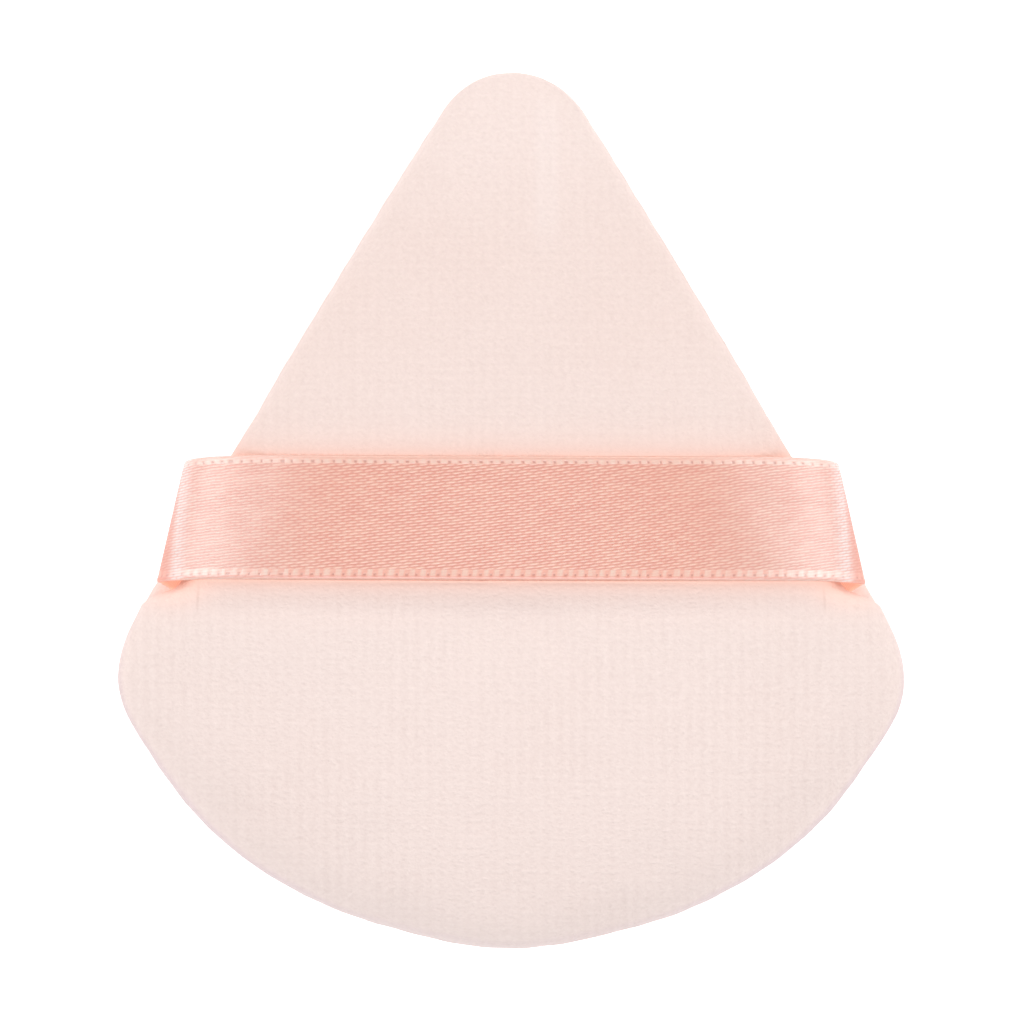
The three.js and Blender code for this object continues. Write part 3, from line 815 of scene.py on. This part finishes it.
# %% One row of the ribbon
ROW_STEPS = 56
CROWN_SAMPLES, SPAN_SAMPLES = 140, 60
TOP_STATIONS, FOLD_STATIONS, UNDER_STATIONS, TAIL_STATIONS = 130, 12, 16, 6
CORNER_FROM = 4.2
rows_across = np.linspace(-RIBBON_WIDTH / 2, RIBBON_WIDTH / 2, ROW_STEPS + 1)


def shoulder_curve(start, end, share):
    """A cubic that leaves the crown at the lift-off slope and meets the fold's slope."""
    handle = np.linalg.norm(end - start) / 3
    leave = start + handle * np.array([cos(LIFT_OFF), -sin(LIFT_OFF)])
    arrive = end - handle * np.array([cos(FOLD_START), -sin(FOLD_START)])
    t = share[:, None]
    return ((1 - t) ** 3 * start + 3 * t * (1 - t) ** 2 * leave
            + 3 * t ** 2 * (1 - t) * arrive + t ** 3 * end)


def ribbon_row(across):
    """Middle line of one row from the centre of the back to its end in the seam."""
    begin = fold_point(across, FOLD_START)
    y = begin[1] + FOLD_SAG
    xs = np.linspace(0, begin[0], CROWN_SAMPLES)
    rest = np.array([back_height(x, y) for x in xs]) + PILE_GAP + RIBBON_THICKNESS / 2
    steep = (rest[:-1] - rest[1:]) / (xs[1] - xs[0]) > tan(LIFT_OFF)
    touch = int(np.argmax(steep))
    crown_part = np.column_stack([xs[:touch], np.full(touch, y), rest[:touch]])
    t = np.linspace(0, 1, SPAN_SAMPLES)
    curve = shoulder_curve(np.array([xs[touch], rest[touch]]), begin[[0, 2]], t)
    corner = CORNER_DROP * smooth_step(across, CORNER_FROM, RIBBON_WIDTH / 2) * t ** 6
    span = np.column_stack([curve[:, 0], y - FOLD_SAG * t ** 2 - corner, curve[:, 1]])
    turns = np.linspace(FOLD_START, FOLD_END, FOLD_STATIONS)
    fold = np.array([fold_point(across, turn) for turn in turns])
    fold[:, 1] -= corner[-1]
    leave = fold[-1]
    heading = homeward(across)
    to_seam = run_to_inset(leave, heading, SEAM_SETBACK)
    to_end = run_to_inset(leave, heading, ALLOWANCE_EDGE)
    left = np.linspace(1, 0, UNDER_STATIONS)[1:]
    under = np.array([[*(leave[:2] + heading * to_seam * (1 - s)), leave[2] * s ** 1.5]
                      for s in left])
    tail = np.array([[*(leave[:2] + heading * run), 0.0]
                     for run in np.linspace(to_seam, to_end, TAIL_STATIONS)[1:]])
    return [crown_part, span, fold[1:], under, tail]


def path_length(points):
    """The distance from the start of a path to each of its points."""
    steps = np.linalg.norm(np.diff(points[:, :3], axis=0), axis=1)
    return np.concatenate([[0], np.cumsum(steps)])


def spaced(points, count):
    """The same path with count points, evenly spaced, and their distances."""
    length = path_length(points)
    even = np.linspace(0, length[-1], count)
    return np.column_stack([np.interp(even, length, column) for column in points.T]), even


right_rows = []
for across in rows_across:
    crown_part, span, fold, under, tail = ribbon_row(across)
    top, _ = spaced(np.vstack([crown_part, span]), TOP_STATIONS)
    right_rows.append(np.vstack([top, fold, under, tail]))
right_rows = np.array(right_rows)
left_rows = right_rows[:, :0:-1] * (-1, 1, 1)
middle = np.concatenate([left_rows, right_rows], axis=1)

# %% Ribbon with thickness, beaded edges and weave coordinates
def strip_object(name, middle, thickness, across):
    """A closed strip round a middle surface of shape (rows, stations, 3)."""
    rows, stations = middle.shape[:2]
    along = np.gradient(middle, axis=1)
    sideways = np.gradient(middle, axis=0)
    normal = np.cross(along, sideways)
    normal /= np.linalg.norm(normal, axis=2, keepdims=True)
    half = (thickness / 2)[:, None, None]
    vertices = np.vstack([(middle + normal * half).reshape(-1, 3),
                          (middle - normal * half).reshape(-1, 3)])
    below = rows * stations
    faces = []
    for r in range(rows - 1):
        for i in range(stations - 1):
            a = r * stations + i
            faces.append((a, a + 1, a + 1 + stations, a + stations))
            faces.append((below + a, below + a + stations, below + a + 1 + stations,
                          below + a + 1))
    for i in range(stations - 1):
        far = (rows - 1) * stations + i
        faces.append((below + i, below + i + 1, i + 1, i))
        faces.append((far, far + 1, below + far + 1, below + far))
    for r in range(rows - 1):
        a = r * stations
        b = a + stations - 1
        faces.append((a, a + stations, below + a + stations, below + a))
        faces.append((below + b, below + b + stations, b + stations, b))
    made = mesh_object(name, vertices, faces)
    made.data.polygons.foreach_set("material_index", [int(min(f) >= below) for f in faces])
    length = np.zeros((rows, stations))
    length[:, 1:] = np.cumsum(np.linalg.norm(np.diff(middle, axis=1), axis=2), axis=1)
    length -= length[:, -1:] / 2
    u = np.tile(length.reshape(-1), 2)
    v = np.tile(np.repeat(across, stations), 2)
    weave = made.data.uv_layers.new(name="weave")
    corners = np.zeros(len(made.data.loops), dtype=np.int32)
    made.data.loops.foreach_get("vertex_index", corners)
    weave.data.foreach_set("uv", np.column_stack([u[corners], v[corners]]).ravel())
    return made


BEAD_PLACE, BEAD_WIDTH, ROUNDED_WIDTH = 0.25, 0.22, 0.2
half_row = middle[ROW_STEPS // 2, middle.shape[1] // 2:][:TOP_STATIONS + FOLD_STATIONS]
UNDER_FROM = float(path_length(half_row)[-1])
edge_distance = RIBBON_WIDTH / 2 - np.abs(rows_across)
bead = np.exp(-((edge_distance - BEAD_PLACE) / BEAD_WIDTH) ** 2)
rounded = 0.55 + 0.45 * smooth_step(edge_distance, 0, ROUNDED_WIDTH)
thickness = RIBBON_THICKNESS * (0.72 + 0.2 * bead) * rounded
middle_up = middle + (0, 0, SEAM_HEIGHT)
ribbon = strip_object("ribbon", middle_up, thickness, rows_across)
print("Ribbon faces:", len(ribbon.data.polygons))

# %% [markdown]
# ## Velour finish
#
# Velour is a knit whose loops are cut to a short pile. It is matt, a little lighter where one
# looks along the pile, and the knit's ribs show through as a very faint grid. The grid could be a
# picture, but two wave patterns bent by noise give it at any size. Close to the ribbon a painted
# reflection gives the pile the ribbon's colour, for the light that goes back and forth in the
# narrow gap. Light also passes the thin ribbon and comes out at its edges and folded corners; a
# weak glow of the velour's own stands for that. On the steep rim a painted shade darkens the pile,
# most of all towards the base. Near the tip a painted highlight lies along a faint ridge, and a
# small crease just below each end of the ribbon gets a painted shade.

# %% Group: pile and knit
MARKS_STANDING = (3.6, 1.9, 2.6)
MARKS_LYING = (2.0, 4.0, 2.6)
PILE_SHAPE = (0.8, 1.0, 0.9)
RIB_DEPTH = 0.13
COURSE_DEPTH = 0.1
group, net, inside, outside = node_group("pile_and_knit", {
    "Place in mm": None, "Rib spacing": 1.17, "Course spacing": 0.78, "Pile size": 0.29,
}, ["Height", "Mottle"])
place = inside["Place in mm"]
drift = net.vector("SUBTRACT", net.noise(place, 0.55, output="Color"), (0.5, 0.5, 0.5))
bent = net.vector("ADD", place, net.vector("SCALE", drift, 0.35))
x, y, _ = net.axes(bent)
ribbed = net.span(net.noise(place, 0.14, 1.0), 0.4, 0.6)
calm_tip = net.span(y, 2.0, 16.0, 1.0, 0.45)
ribs = net.wave(x / inside["Rib spacing"]) * calm_tip * RIB_DEPTH
courses = net.wave(y / inside["Course spacing"]) * COURSE_DEPTH
upright = net.stretched_noise(bent, MARKS_STANDING) * (ribbed * 0.7 + 0.1) * calm_tip
lying = net.stretched_noise(bent, MARKS_LYING) * (1 - ribbed * 0.5)
pile = net.stretched_noise(net.vector("SCALE", place, 1 / inside["Pile size"]), PILE_SHAPE)
height = (lying + upright) * 1.2 + pile * 2.2 + ribs * (ribbed * 0.8 + 0.4) + courses
shade = upright * 0.8 + ribs * 0.6 + height
net.connect(outside, {"Height": height, "Mottle": net.clamped(shade * 0.38 + 0.5)})
pile_and_knit = group
print("Group:", group.name)

# %% Group: pile tone and painted light
RIDGE_HIGHLIGHT_X = 3.1
CREASE_X = 27.82
CREASE_LEAN = 0.06
group, net, inside, outside = node_group("pile_tone_and_painted_light", {
    "Place in mm": None, "Patch size": 14.0}, ["Warmth", "Ridge highlight", "Crease shade"])
x, y, _ = net.axes(inside["Place in mm"])
patches = net.noise(inside["Place in mm"], 1 / inside["Patch size"], roughness=0.6)
# Warmer patches at random, and a warmer band above the ribbon
warmth = (patches - 0.5) * 1.6 + net.span(y, -2.0, 8.0) * net.span(y, 36.0, 22.0)
# Painted highlight along a faint ridge near the tip, a little right of the middle
ridge_highlight = net.span(abs(x - RIDGE_HIGHLIGHT_X), 1.6, 0.5) * net.span(y, 22.0, 27.0) * net.span(y, 39.0, 35.0)
# Painted shade in a small crease just below each end of the ribbon
from_crease = abs(abs(x) - CREASE_X + y * CREASE_LEAN)
crease = net.span(from_crease, 0.2, 0.03) * net.span(y, -9.6, -8.0) * net.span(y, -6.6, -7.2)
net.connect(outside, {"Warmth": warmth, "Ridge highlight": ridge_highlight, "Crease shade": crease})
pile_tone_and_painted_light = group
print("Group:", group.name)

# %% Group: glow beside the ribbon
UNDER_FADE = 2.5        # under the ribbon the glow ends this many times sooner than beside it
CORNER_X = 30.6         # where the folded corners show, beyond the ribbon's base-side edge
CORNER_BEYOND = 0.7
CORNER_WIDTH = 1.6
CORNER_FADE = 0.35
group, net, inside, outside = node_group("ribbon_glow", {
    "Place in mm": None, "Ribbon middle": RIBBON_Y, "Half width": RIBBON_WIDTH / 2,
    "Reach": 1.15}, ["Mask", "Edge", "Corner"])
x, y, z = net.axes(inside["Place in mm"])
towards_tip = y - inside["Ribbon middle"]
beyond = abs(towards_tip) - inside["Half width"]
beyond = net.math("MAXIMUM", beyond, beyond * -UNDER_FADE)
fade = net.math("EXPONENT", beyond / inside["Reach"] * -1.0)
tip_side = net.span(towards_tip, -0.5, 0.5)
edge = fade ** 6.0 * tip_side + fade ** 12.0 * (1 - tip_side) * 0.6
corner_x = (abs(x) - CORNER_X) / CORNER_WIDTH
corner_y = towards_tip + inside["Half width"] + CORNER_BEYOND
corner = net.math("EXPONENT", (corner_x * corner_x + corner_y * corner_y) * -CORNER_FADE)
corner = corner * net.span(z, SEAM_HEIGHT - 3.0, SEAM_HEIGHT - 1.5)
net.connect(outside, {"Mask": fade, "Edge": edge, "Corner": corner})
ribbon_glow = group
print("Group:", group.name)

# %% Velour materials
VELOUR_LIGHT = srgb(250, 228, 219)
VELOUR_DEEP = srgb(237, 213, 204)
VELOUR_WARM = (0.955, 0.92, 0.905, 1)
VELOUR_RIDGE_HIGHLIGHT = srgb(252, 236, 230)
VELOUR_SHEEN = (0.86, 0.95, 1.0, 1)
CREASE_SHADE = (0.84, 0.8, 0.78, 1)
STEEP_SHADE = (0.9, 0.87, 0.92, 1)
RIBBON_REFLECTION_COLOUR = srgb(247, 195, 177)
LIGHT_THROUGH = srgb(255, 208, 188)
NO_LIGHT = (0, 0, 0, 1)


def velour_material(name, glow):
    """Matt cut-pile velour. Glow is how much painted reflection of the ribbon's colour and light
    through the ribbon it takes on.
    """
    made, net, shader = new_material(name)
    place = {"Place in mm": net.place_in_mm()}
    pile = net.group(pile_and_knit, place)
    tone_and_light = net.group(pile_tone_and_painted_light, place)
    beside = net.group(ribbon_glow, place)
    colour = net.mix(pile["Mottle"], VELOUR_DEEP, VELOUR_LIGHT)
    colour = net.mix(net.clamped(tone_and_light["Warmth"] * 0.5), colour, VELOUR_WARM, "MULTIPLY")
    # painted highlight of the ridge near the tip
    colour = net.mix(tone_and_light["Ridge highlight"] * 0.15, colour, VELOUR_RIDGE_HIGHLIGHT)
    # painted shade of the crease
    colour = net.mix(tone_and_light["Crease shade"] * 0.7, colour, CREASE_SHADE, "MULTIPLY")
    # Painted reflection: beside the ribbon and at its folded corners the pile takes the ribbon's
    # colour
    painted_reflection = net.clamped(beside["Mask"] * glow + beside["Corner"] * 0.3)
    colour = net.mix(painted_reflection, colour, RIBBON_REFLECTION_COLOUR)
    passed = net.clamped(beside["Edge"] * (0.75 * glow) + beside["Corner"] * 0.6)
    _, facing_tip, facing_up = net.axes(net.value("ShaderNodeTexCoord", "Normal", {}))
    # Painted shade on the steep rim, most of all on the side towards the base
    steep = net.span(abs(facing_up), 0.66, 0.28)
    towards_base = net.span(facing_tip, 0.6, -0.3) * (1 - net.span(facing_tip, -0.8, -0.95) * 0.6)
    colour = net.mix(steep * towards_base, colour, STEEP_SHADE, "MULTIPLY")
    net.connect(shader, {
        "Base Color": colour, "Roughness": 0.85, "Specular IOR Level": 0.15,
        "Sheen Weight": 0.08, "Sheen Roughness": 0.45, "Sheen Tint": VELOUR_SHEEN,
        "Emission Color": net.mix(passed, NO_LIGHT, LIGHT_THROUGH), "Emission Strength": 0.26,
        "Normal": net.bump(pile["Height"], 0.7, 0.05)})
    return made


back_velour.data.materials.append(velour_material("back_velour_finish", 0.92))
front_velour.data.materials.append(velour_material("front_velour_finish", 0.0))
print("Velour ready")

# %% [markdown]
# ## Satin finish
#
# Satin is woven so that each lengthwise thread floats over several crosswise ones and dips under
# one. Seen close up it is rows of short dashes, each row shifted against the next. The woven
# edges are firmer: small bars with a dark dot between them, and a fine line at the very edge.
# Where the ribbon bends down over the puff's shoulders a painted highlight makes it pale, and
# along the fold a painted shade gives a deeper line, with a higher roughness that makes it less
# glossy. On the base side the woven edge gets a painted shade at its rim. The layer turned under
# is
# never dark: on the reverse, colours painted paler than the satin and a weak glow of its own stand
# for the light that passes the upper layer, which a thin sheet can't work out cheaply.

# %% Group: satin weave
group, net, inside, outside = node_group("satin_weave", {
    "Along in mm": 0.0, "Across in mm": 0.0, "Float repeat": 0.983, "Thread pitch": 0.264,
    "Row shift": 0.495, "Slant": 0.118, "Slant drift": 0.0005}, ["Height", "Thread light"])
along = inside["Along in mm"]
lean = inside["Slant drift"] * along + inside["Slant"]
slanted = inside["Across in mm"] - lean * along + net.noise_along(along, 0.7) * 0.1
row = slanted / inside["Thread pitch"]
row_index = net.math("FLOOR", row)
shift = row_index * inside["Row shift"] + net.chance(row_index) * 0.1
turns = along / inside["Float repeat"] - shift
dash = net.math("FRACT", turns) - 0.5
across_row = net.math("FRACT", row) - 0.5 - dash * 0.08
across_hump = net.math("COSINE", across_row * (2 * pi)) * 0.5 + 0.5
along_hump = net.span(abs(dash), 0.5, 0.16)
height = across_hump * (along_hump * 0.6 + 0.4)
own_light = net.chance(row_index + net.math("FLOOR", turns) * 37.0) - 0.5
light = net.math("MAXIMUM", height + own_light * 0.3, 0.0)
net.connect(outside, {"Height": height, "Thread light": light})
satin_weave = group
print("Group:", group.name)

# %% Group: woven edge
group, net, inside, outside = node_group("woven_edge", {
    "Along in mm": 0.0, "From edge in mm": 0.0, "Pitch": 0.95, "Bar start": 0.28,
    "Bar end": 1.0, "Dot place": 0.46, "Line place": 0.2}, ["Bars", "Dots", "Line"])
along, from_edge = inside["Along in mm"], inside["From edge in mm"]
turns = (net.noise_along(along, 1.1) * 0.5 + along - from_edge * 0.18) / inside["Pitch"]
share = abs(net.math("FRACT", turns) - 0.5)
start, end = inside["Bar start"], inside["Bar end"]
band = net.span(from_edge, start - 0.08, start + 0.04) * net.span(from_edge, end + 0.06, end - 0.1)
patchy = net.span(net.noise_along(along, 1.7), -0.25, 0.2, 0.55, 1.25, "LINEAR")
from_dot, from_line = abs(from_edge - inside["Dot place"]), abs(from_edge - inside["Line place"])
every_other = net.span(net.math("SINE", turns * pi), -0.6, 0.5, 0.45, 1.0)
net.connect(outside, {"Bars": band * net.span(share, 0.36, 0.12) * patchy,
                      "Dots": net.span(share, 0.3, 0.45) * net.span(from_dot, 0.2, 0.04),
                      "Line": net.span(from_line, 0.1, 0.02) * every_other})
woven_edge = group
print("Group:", group.name)

# %% Satin material
SATIN_LIGHT = srgb(255, 193, 166)
SATIN_DEEP = srgb(232, 141, 118)
FOLD_HIGHLIGHT = srgb(250, 228, 222)
EDGE_LIGHT = srgb(255, 214, 194)
EDGE_MIDDLE = srgb(255, 176, 152)
EDGE_DARK = srgb(196, 118, 98)
EDGE_RIM = srgb(255, 193, 171)
EDGE_LOW_RIM_SHADE = srgb(246, 158, 134)
TIP_EDGE = {"Bar start": 0.36, "Bar end": 0.78, "Dot place": 0.56, "Line place": 0.24}
BASE_EDGE = {"Bar start": 0.28, "Bar end": 1.0, "Dot place": 0.46, "Line place": 0.2}


def weave_place(net):
    """Lengths along and across the ribbon, in millimetres."""
    return net.axes(net.value("ShaderNodeUVMap", "UV", {}, uv_map="weave"))[:2]


satin, net, shader = new_material("ribbon_satin")
along, across = weave_place(net)
weave = net.group(satin_weave, {"Along in mm": along, "Across in mm": across})
threads = net.mix(weave["Thread light"], SATIN_DEEP, SATIN_LIGHT)
from_edge = RIBBON_WIDTH / 2 - abs(across)
tip_side = net.span(across, -0.1, 0.1)
colour, height = threads, weave["Height"]
for side, places, ends, ground, bar_share, line_share, low_rim_shade in (
        (tip_side, TIP_EDGE, (0.76, 0.66), EDGE_RIM, 0.6, 0.2, 0.0),
        (1 - tip_side, BASE_EDGE, (1.0, 0.92), EDGE_MIDDLE, 0.7, 0.4, 1.0)):
    edge = net.group(woven_edge, {"Along in mm": along, "From edge in mm": from_edge, **places})
    zone = side * net.span(from_edge, *ends)
    colour = net.mix(zone, colour, ground)
    colour = net.mix(zone * edge["Bars"] * bar_share, colour, EDGE_LIGHT)
    colour = net.mix(zone * edge["Dots"] * 0.8, colour, EDGE_DARK)
    colour = net.mix(zone * edge["Line"] * line_share, colour, EDGE_DARK)
    # Painted shade at the rim of the base-side woven edge
    colour = net.mix(side * net.span(from_edge, 0.42, 0.3) * low_rim_shade, colour, EDGE_LOW_RIM_SHADE)
    colour = net.mix(side * net.span(from_edge, 0.16, 0.08), colour, EDGE_RIM)
    colour = net.mix(zone * 0.18, colour, threads)
    relief = edge["Bars"] * 0.5 + 0.5 - edge["Dots"]
    height = height * (1 - zone) + relief * zone


def near_fold(start, end):
    """0 to 1 between two distances beyond the place where the ribbon turns under."""
    return net.span(abs(along), UNDER_FROM + start, UNDER_FROM + end)


# Painted highlight where the ribbon bends down over the shoulders, strongest on the lit threads
shoulder_highlight = (near_fold(-19.0, -4.0) * 0.42 + near_fold(-4.2, -2.2) * 0.58) * near_fold(-0.2, -2.5)
lit_threads = net.span(weave["Thread light"], 0.08, 0.62) * 0.55 + 0.36
colour = net.mix(shoulder_highlight * lit_threads, colour, FOLD_HIGHLIGHT)
# Painted shade along the fold
fold_shade = near_fold(-2.4, -1.1) * near_fold(1.0, 0.0)
colour = net.mix(fold_shade * 0.55, colour, SATIN_DEEP)
net.connect(shader, {
    "Base Color": colour, "Roughness": near_fold(-3.6, -1.8) * 0.32 + 0.4, "IOR": 1.8,
    "Specular IOR Level": 1.0, "Sheen Weight": 0.35, "Sheen Roughness": 0.35,
    "Subsurface Weight": 0.15, "Subsurface Radius": (1.0, 0.6, 0.5), "Subsurface Scale": 1.0 * MM,
    "Normal": net.bump(height, 0.55, 0.04)})
ribbon.data.materials.append(satin)

# %% Reverse of the satin
# The reverse's own thread stripes, painted paler than the satin for the light that passes the
# upper layer
REVERSE_LIGHT = srgb(255, 222, 204)
REVERSE_DEEP = srgb(252, 203, 182)
REVERSE_PITCH = 0.24
reverse, net, shader = new_material("ribbon_reverse")
along, _ = weave_place(net)
threads = net.wave(along / REVERSE_PITCH) * 0.5 + 0.5
turned_under = net.span(abs(along), UNDER_FROM - 0.2, UNDER_FROM + 0.5)
net.connect(shader, {
    "Base Color": net.mix(threads, REVERSE_DEEP, REVERSE_LIGHT), "Roughness": 0.6,
    "Emission Color": net.mix(turned_under, NO_LIGHT, LIGHT_THROUGH), "Emission Strength": 0.3,
    "Normal": net.bump(threads, 0.4, 0.02)})
ribbon.data.materials.append(reverse)
print("Satin ready; the under layer starts at", round(UNDER_FROM, 2), "mm from the middle")

# %% [markdown]
# ## Foam inside
#
# The filling is one cut piece of soft foam that the panels press into their own shape. It can't
# be seen from outside, but the part can be opened, so it gets its real form: the room inside both
# panels, with a notch round the rim for the turned-in cloth.

# %% Sponge core
SPONGE_INSET = VELOUR + 2 * CLEARANCE
NOTCH = HALF_GAP + ALLOWANCE + 3 * THREAD_RADIUS + CLEARANCE


def sponge_core():
    def fill(r, side, bulge, depth):
        plan = crown_plan(r, SPONGE_INSET, depth)
        inside = crown_height(plan[:, 1], r, HALF_GAP + ALLOWANCE, bulge - VELOUR)
        return ring(plan, side * np.maximum(NOTCH, inside - CLEARANCE))

    notch_xy = RIM_XY - RIM_N * (ALLOWANCE_EDGE + CLEARANCE)
    rings = [fill(r, 1, BACK_BULGE, DENT_DEPTH) for r in INNER_SHARES]
    rings += [ring(notch_xy, NOTCH), ring(notch_xy, -NOTCH)]
    rings += [fill(r, -1, FRONT_BULGE, 0.0) for r in INNER_SHARES[::-1]]
    return ring_object("sponge", BACK_BULGE - VELOUR - CLEARANCE, rings,
                       VELOUR + CLEARANCE - FRONT_BULGE)


sponge = sponge_core()
foam, net, shader = new_material("soft_foam")
place = net.place_in_mm()
cells = net.value("ShaderNodeTexVoronoi", "Distance", {"Vector": place, "Scale": 2.4})
colour = net.mix(net.span(cells, 0.1, 0.5), srgb(240, 232, 216), srgb(250, 245, 234))
colour = net.mix(net.noise(place, 0.25) * 0.35, colour, srgb(246, 236, 214))
net.connect(shader, {"Base Color": colour, "Roughness": 0.95, "Specular IOR Level": 0.1,
                     "Normal": net.bump(cells, 0.7, 0.12)})
sponge.data.materials.append(foam)
print("Foam faces:", len(sponge.data.polygons))

# %% [markdown]
# ## Sewing thread
#
# A lockstitch of a needle thread and a bobbin thread holds the rim, and a ladder stitch closes
# the gap through which the puff was turned. Sewing thread is two plies twisted together. A bent
# tube could stand for it, but two thin tubes wound round each other read as thread at any
# distance, and cost little.

# %% Path of a stitch
LADDER_STITCH = 3.0
LOOP_HALF = 0.25
LOCK_OFFSET = 0.25
GAP_LENGTH = 24.0
GAP_START = (TURNS[0] - TURNS[1]) * (TIP_ARC[2] - STITCH_INSET) + 8.0
SEWN = 2 * half_length(STITCH_INSET) - GAP_LENGTH
STITCHES = round(SEWN / STITCH_LENGTH)


def seam_path(stops):
    """Points and outward directions on the stitch line from (distance, height) stops."""
    stops = np.array(stops)
    on_rim = rim(stops[:, 0], STITCH_INSET)
    points = np.column_stack([on_rim[:, :2], stops[:, 1]])
    return points, np.column_stack([on_rim[:, 2:], np.zeros(len(points))])


def lockstitch_path(side):
    stops = []
    for i in range(STITCHES + 1):
        at = GAP_START + GAP_LENGTH + SEWN * i / STITCHES
        gap = half_gap(rim(np.array([at]), STITCH_INSET)[:, :2])[0]
        raised = side * (gap + ALLOWANCE + 2 * THREAD_RADIUS)
        if i > 0:
            stops += [(at - LOOP_HALF, raised), (at - LOOP_HALF, side * LOCK_OFFSET)]
        if i < STITCHES:
            stops += [(at + LOOP_HALF, side * LOCK_OFFSET), (at + LOOP_HALF, raised)]
    return seam_path(stops)


def ladder_path():
    steps = round(GAP_LENGTH / LADDER_STITCH)
    pitch = GAP_LENGTH / steps
    inwards = LOOP_HALF + 2 * THREAD_RADIUS + HOLE_CLEARANCE
    stops = []
    for i in range(steps):
        height = (PANEL_GAP / 2 + 2 * THREAD_RADIUS) * (1 if i % 2 == 0 else -1)
        first = GAP_START + pitch * i + (inwards if i == 0 else 0)
        last = GAP_START + pitch * (i + 1) - (inwards if i == steps - 1 else 0)
        stops += [(first, height), (last, height)]
    return seam_path(stops)


print("Lockstitches round the rim:", STITCHES)

# %% Two plies wound round each other
PLY_RADIUS = 0.072
PLY_OFFSET = 0.066
TWIST = 0.85
PLY_SIDES = 6
PLY_STEP = 0.14
CORNER_CUT = 0.18


def softened(path):
    """The path with its corners cut twice, so the thread bends in a small curve."""
    for _ in range(2):
        step = (path[1:] - path[:-1]) * CORNER_CUT
        near, far = path[:-1] + step, path[1:] - step
        inner = np.stack([near, far], axis=1).reshape(-1, path.shape[1])
        path = np.vstack([path[:1], inner, path[-1:]])
    return path


def plied_thread(name, points, outwards):
    both = softened(np.hstack([points, outwards]))
    both, even = spaced(both, int(path_length(both)[-1] / PLY_STEP))
    centre, out = both[:, :3], both[:, 3:]
    out = out / np.linalg.norm(out, axis=1, keepdims=True)
    ahead = np.gradient(centre, axis=0)
    ahead /= np.linalg.norm(ahead, axis=1, keepdims=True)
    rise = np.cross(ahead, out)
    vertices, faces = [], []
    for ply in range(2):
        turn = even * 2 * pi / TWIST + ply * pi
        middle_line = centre + PLY_OFFSET * (np.cos(turn)[:, None] * out
                                             + np.sin(turn)[:, None] * rise)
        first = len(vertices) * len(centre) * PLY_SIDES
        corners = [middle_line + PLY_RADIUS * (cos(a) * out + sin(a) * rise)
                   for a in np.arange(PLY_SIDES) * 2 * pi / PLY_SIDES]
        vertices.append(np.stack(corners, axis=1).reshape(-1, 3))
        for i in range(len(centre) - 1):
            for k in range(PLY_SIDES):
                a, b = first + i * PLY_SIDES + k, first + i * PLY_SIDES + (k + 1) % PLY_SIDES
                faces.append((a, b, b + PLY_SIDES, a + PLY_SIDES))
        end = first + (len(centre) - 1) * PLY_SIDES
        faces.append(tuple(first + k for k in range(PLY_SIDES))[::-1])
        faces.append(tuple(end + k for k in range(PLY_SIDES)))
    return mesh_object(name, np.vstack(vertices) + (0, 0, SEAM_HEIGHT), faces)


needle_thread = plied_thread("needle_thread", *lockstitch_path(1))
bobbin_thread = plied_thread("bobbin_thread", *lockstitch_path(-1))
ladder_thread = plied_thread("ladder_thread", *ladder_path())
sewing, net, shader = new_material("sewing_thread")
fibres = net.stretched_noise(net.place_in_mm(), (9.0, 9.0, 9.0), 3.0)
colour = net.mix(fibres + 0.5, srgb(236, 208, 196), srgb(250, 232, 224))
net.connect(shader, {"Base Color": colour, "Roughness": 0.6, "Sheen Weight": 0.2,
                     "Normal": net.bump(fibres, 0.5, 0.02)})
for thread in (needle_thread, bobbin_thread, ladder_thread):
    thread.data.materials.append(sewing)
print("Faces on each lockstitch thread:", len(needle_thread.data.polygons))

# %% [markdown]
# ## Bodies and the CAD parts that each piece replaces
#
# The panels, the foam and the threads ride on the puff, and the CAD parts they replace are
# hidden. The ribbon's ends are sewn into the puff and its middle can be lifted; here the ribbon
# rides on no body: it keeps its place, from the seam plane up to the top of the back, and its CAD
# part is hidden.

# %% Ride and replace
for piece, node, slot in ((back_velour, "back_velour_panel", "back_velour"),
                          (front_velour, "front_velour_panel", "front_velour"),
                          (sponge, "sponge_core", "foam"),
                          (needle_thread, "seam_needle_thread", "thread"),
                          (bobbin_thread, "seam_bobbin_thread", "thread"),
                          (ladder_thread, "closing_thread", "thread")):
    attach(piece, "puff")
    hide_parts(node)
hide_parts("satin_ribbon")
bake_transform(ribbon)
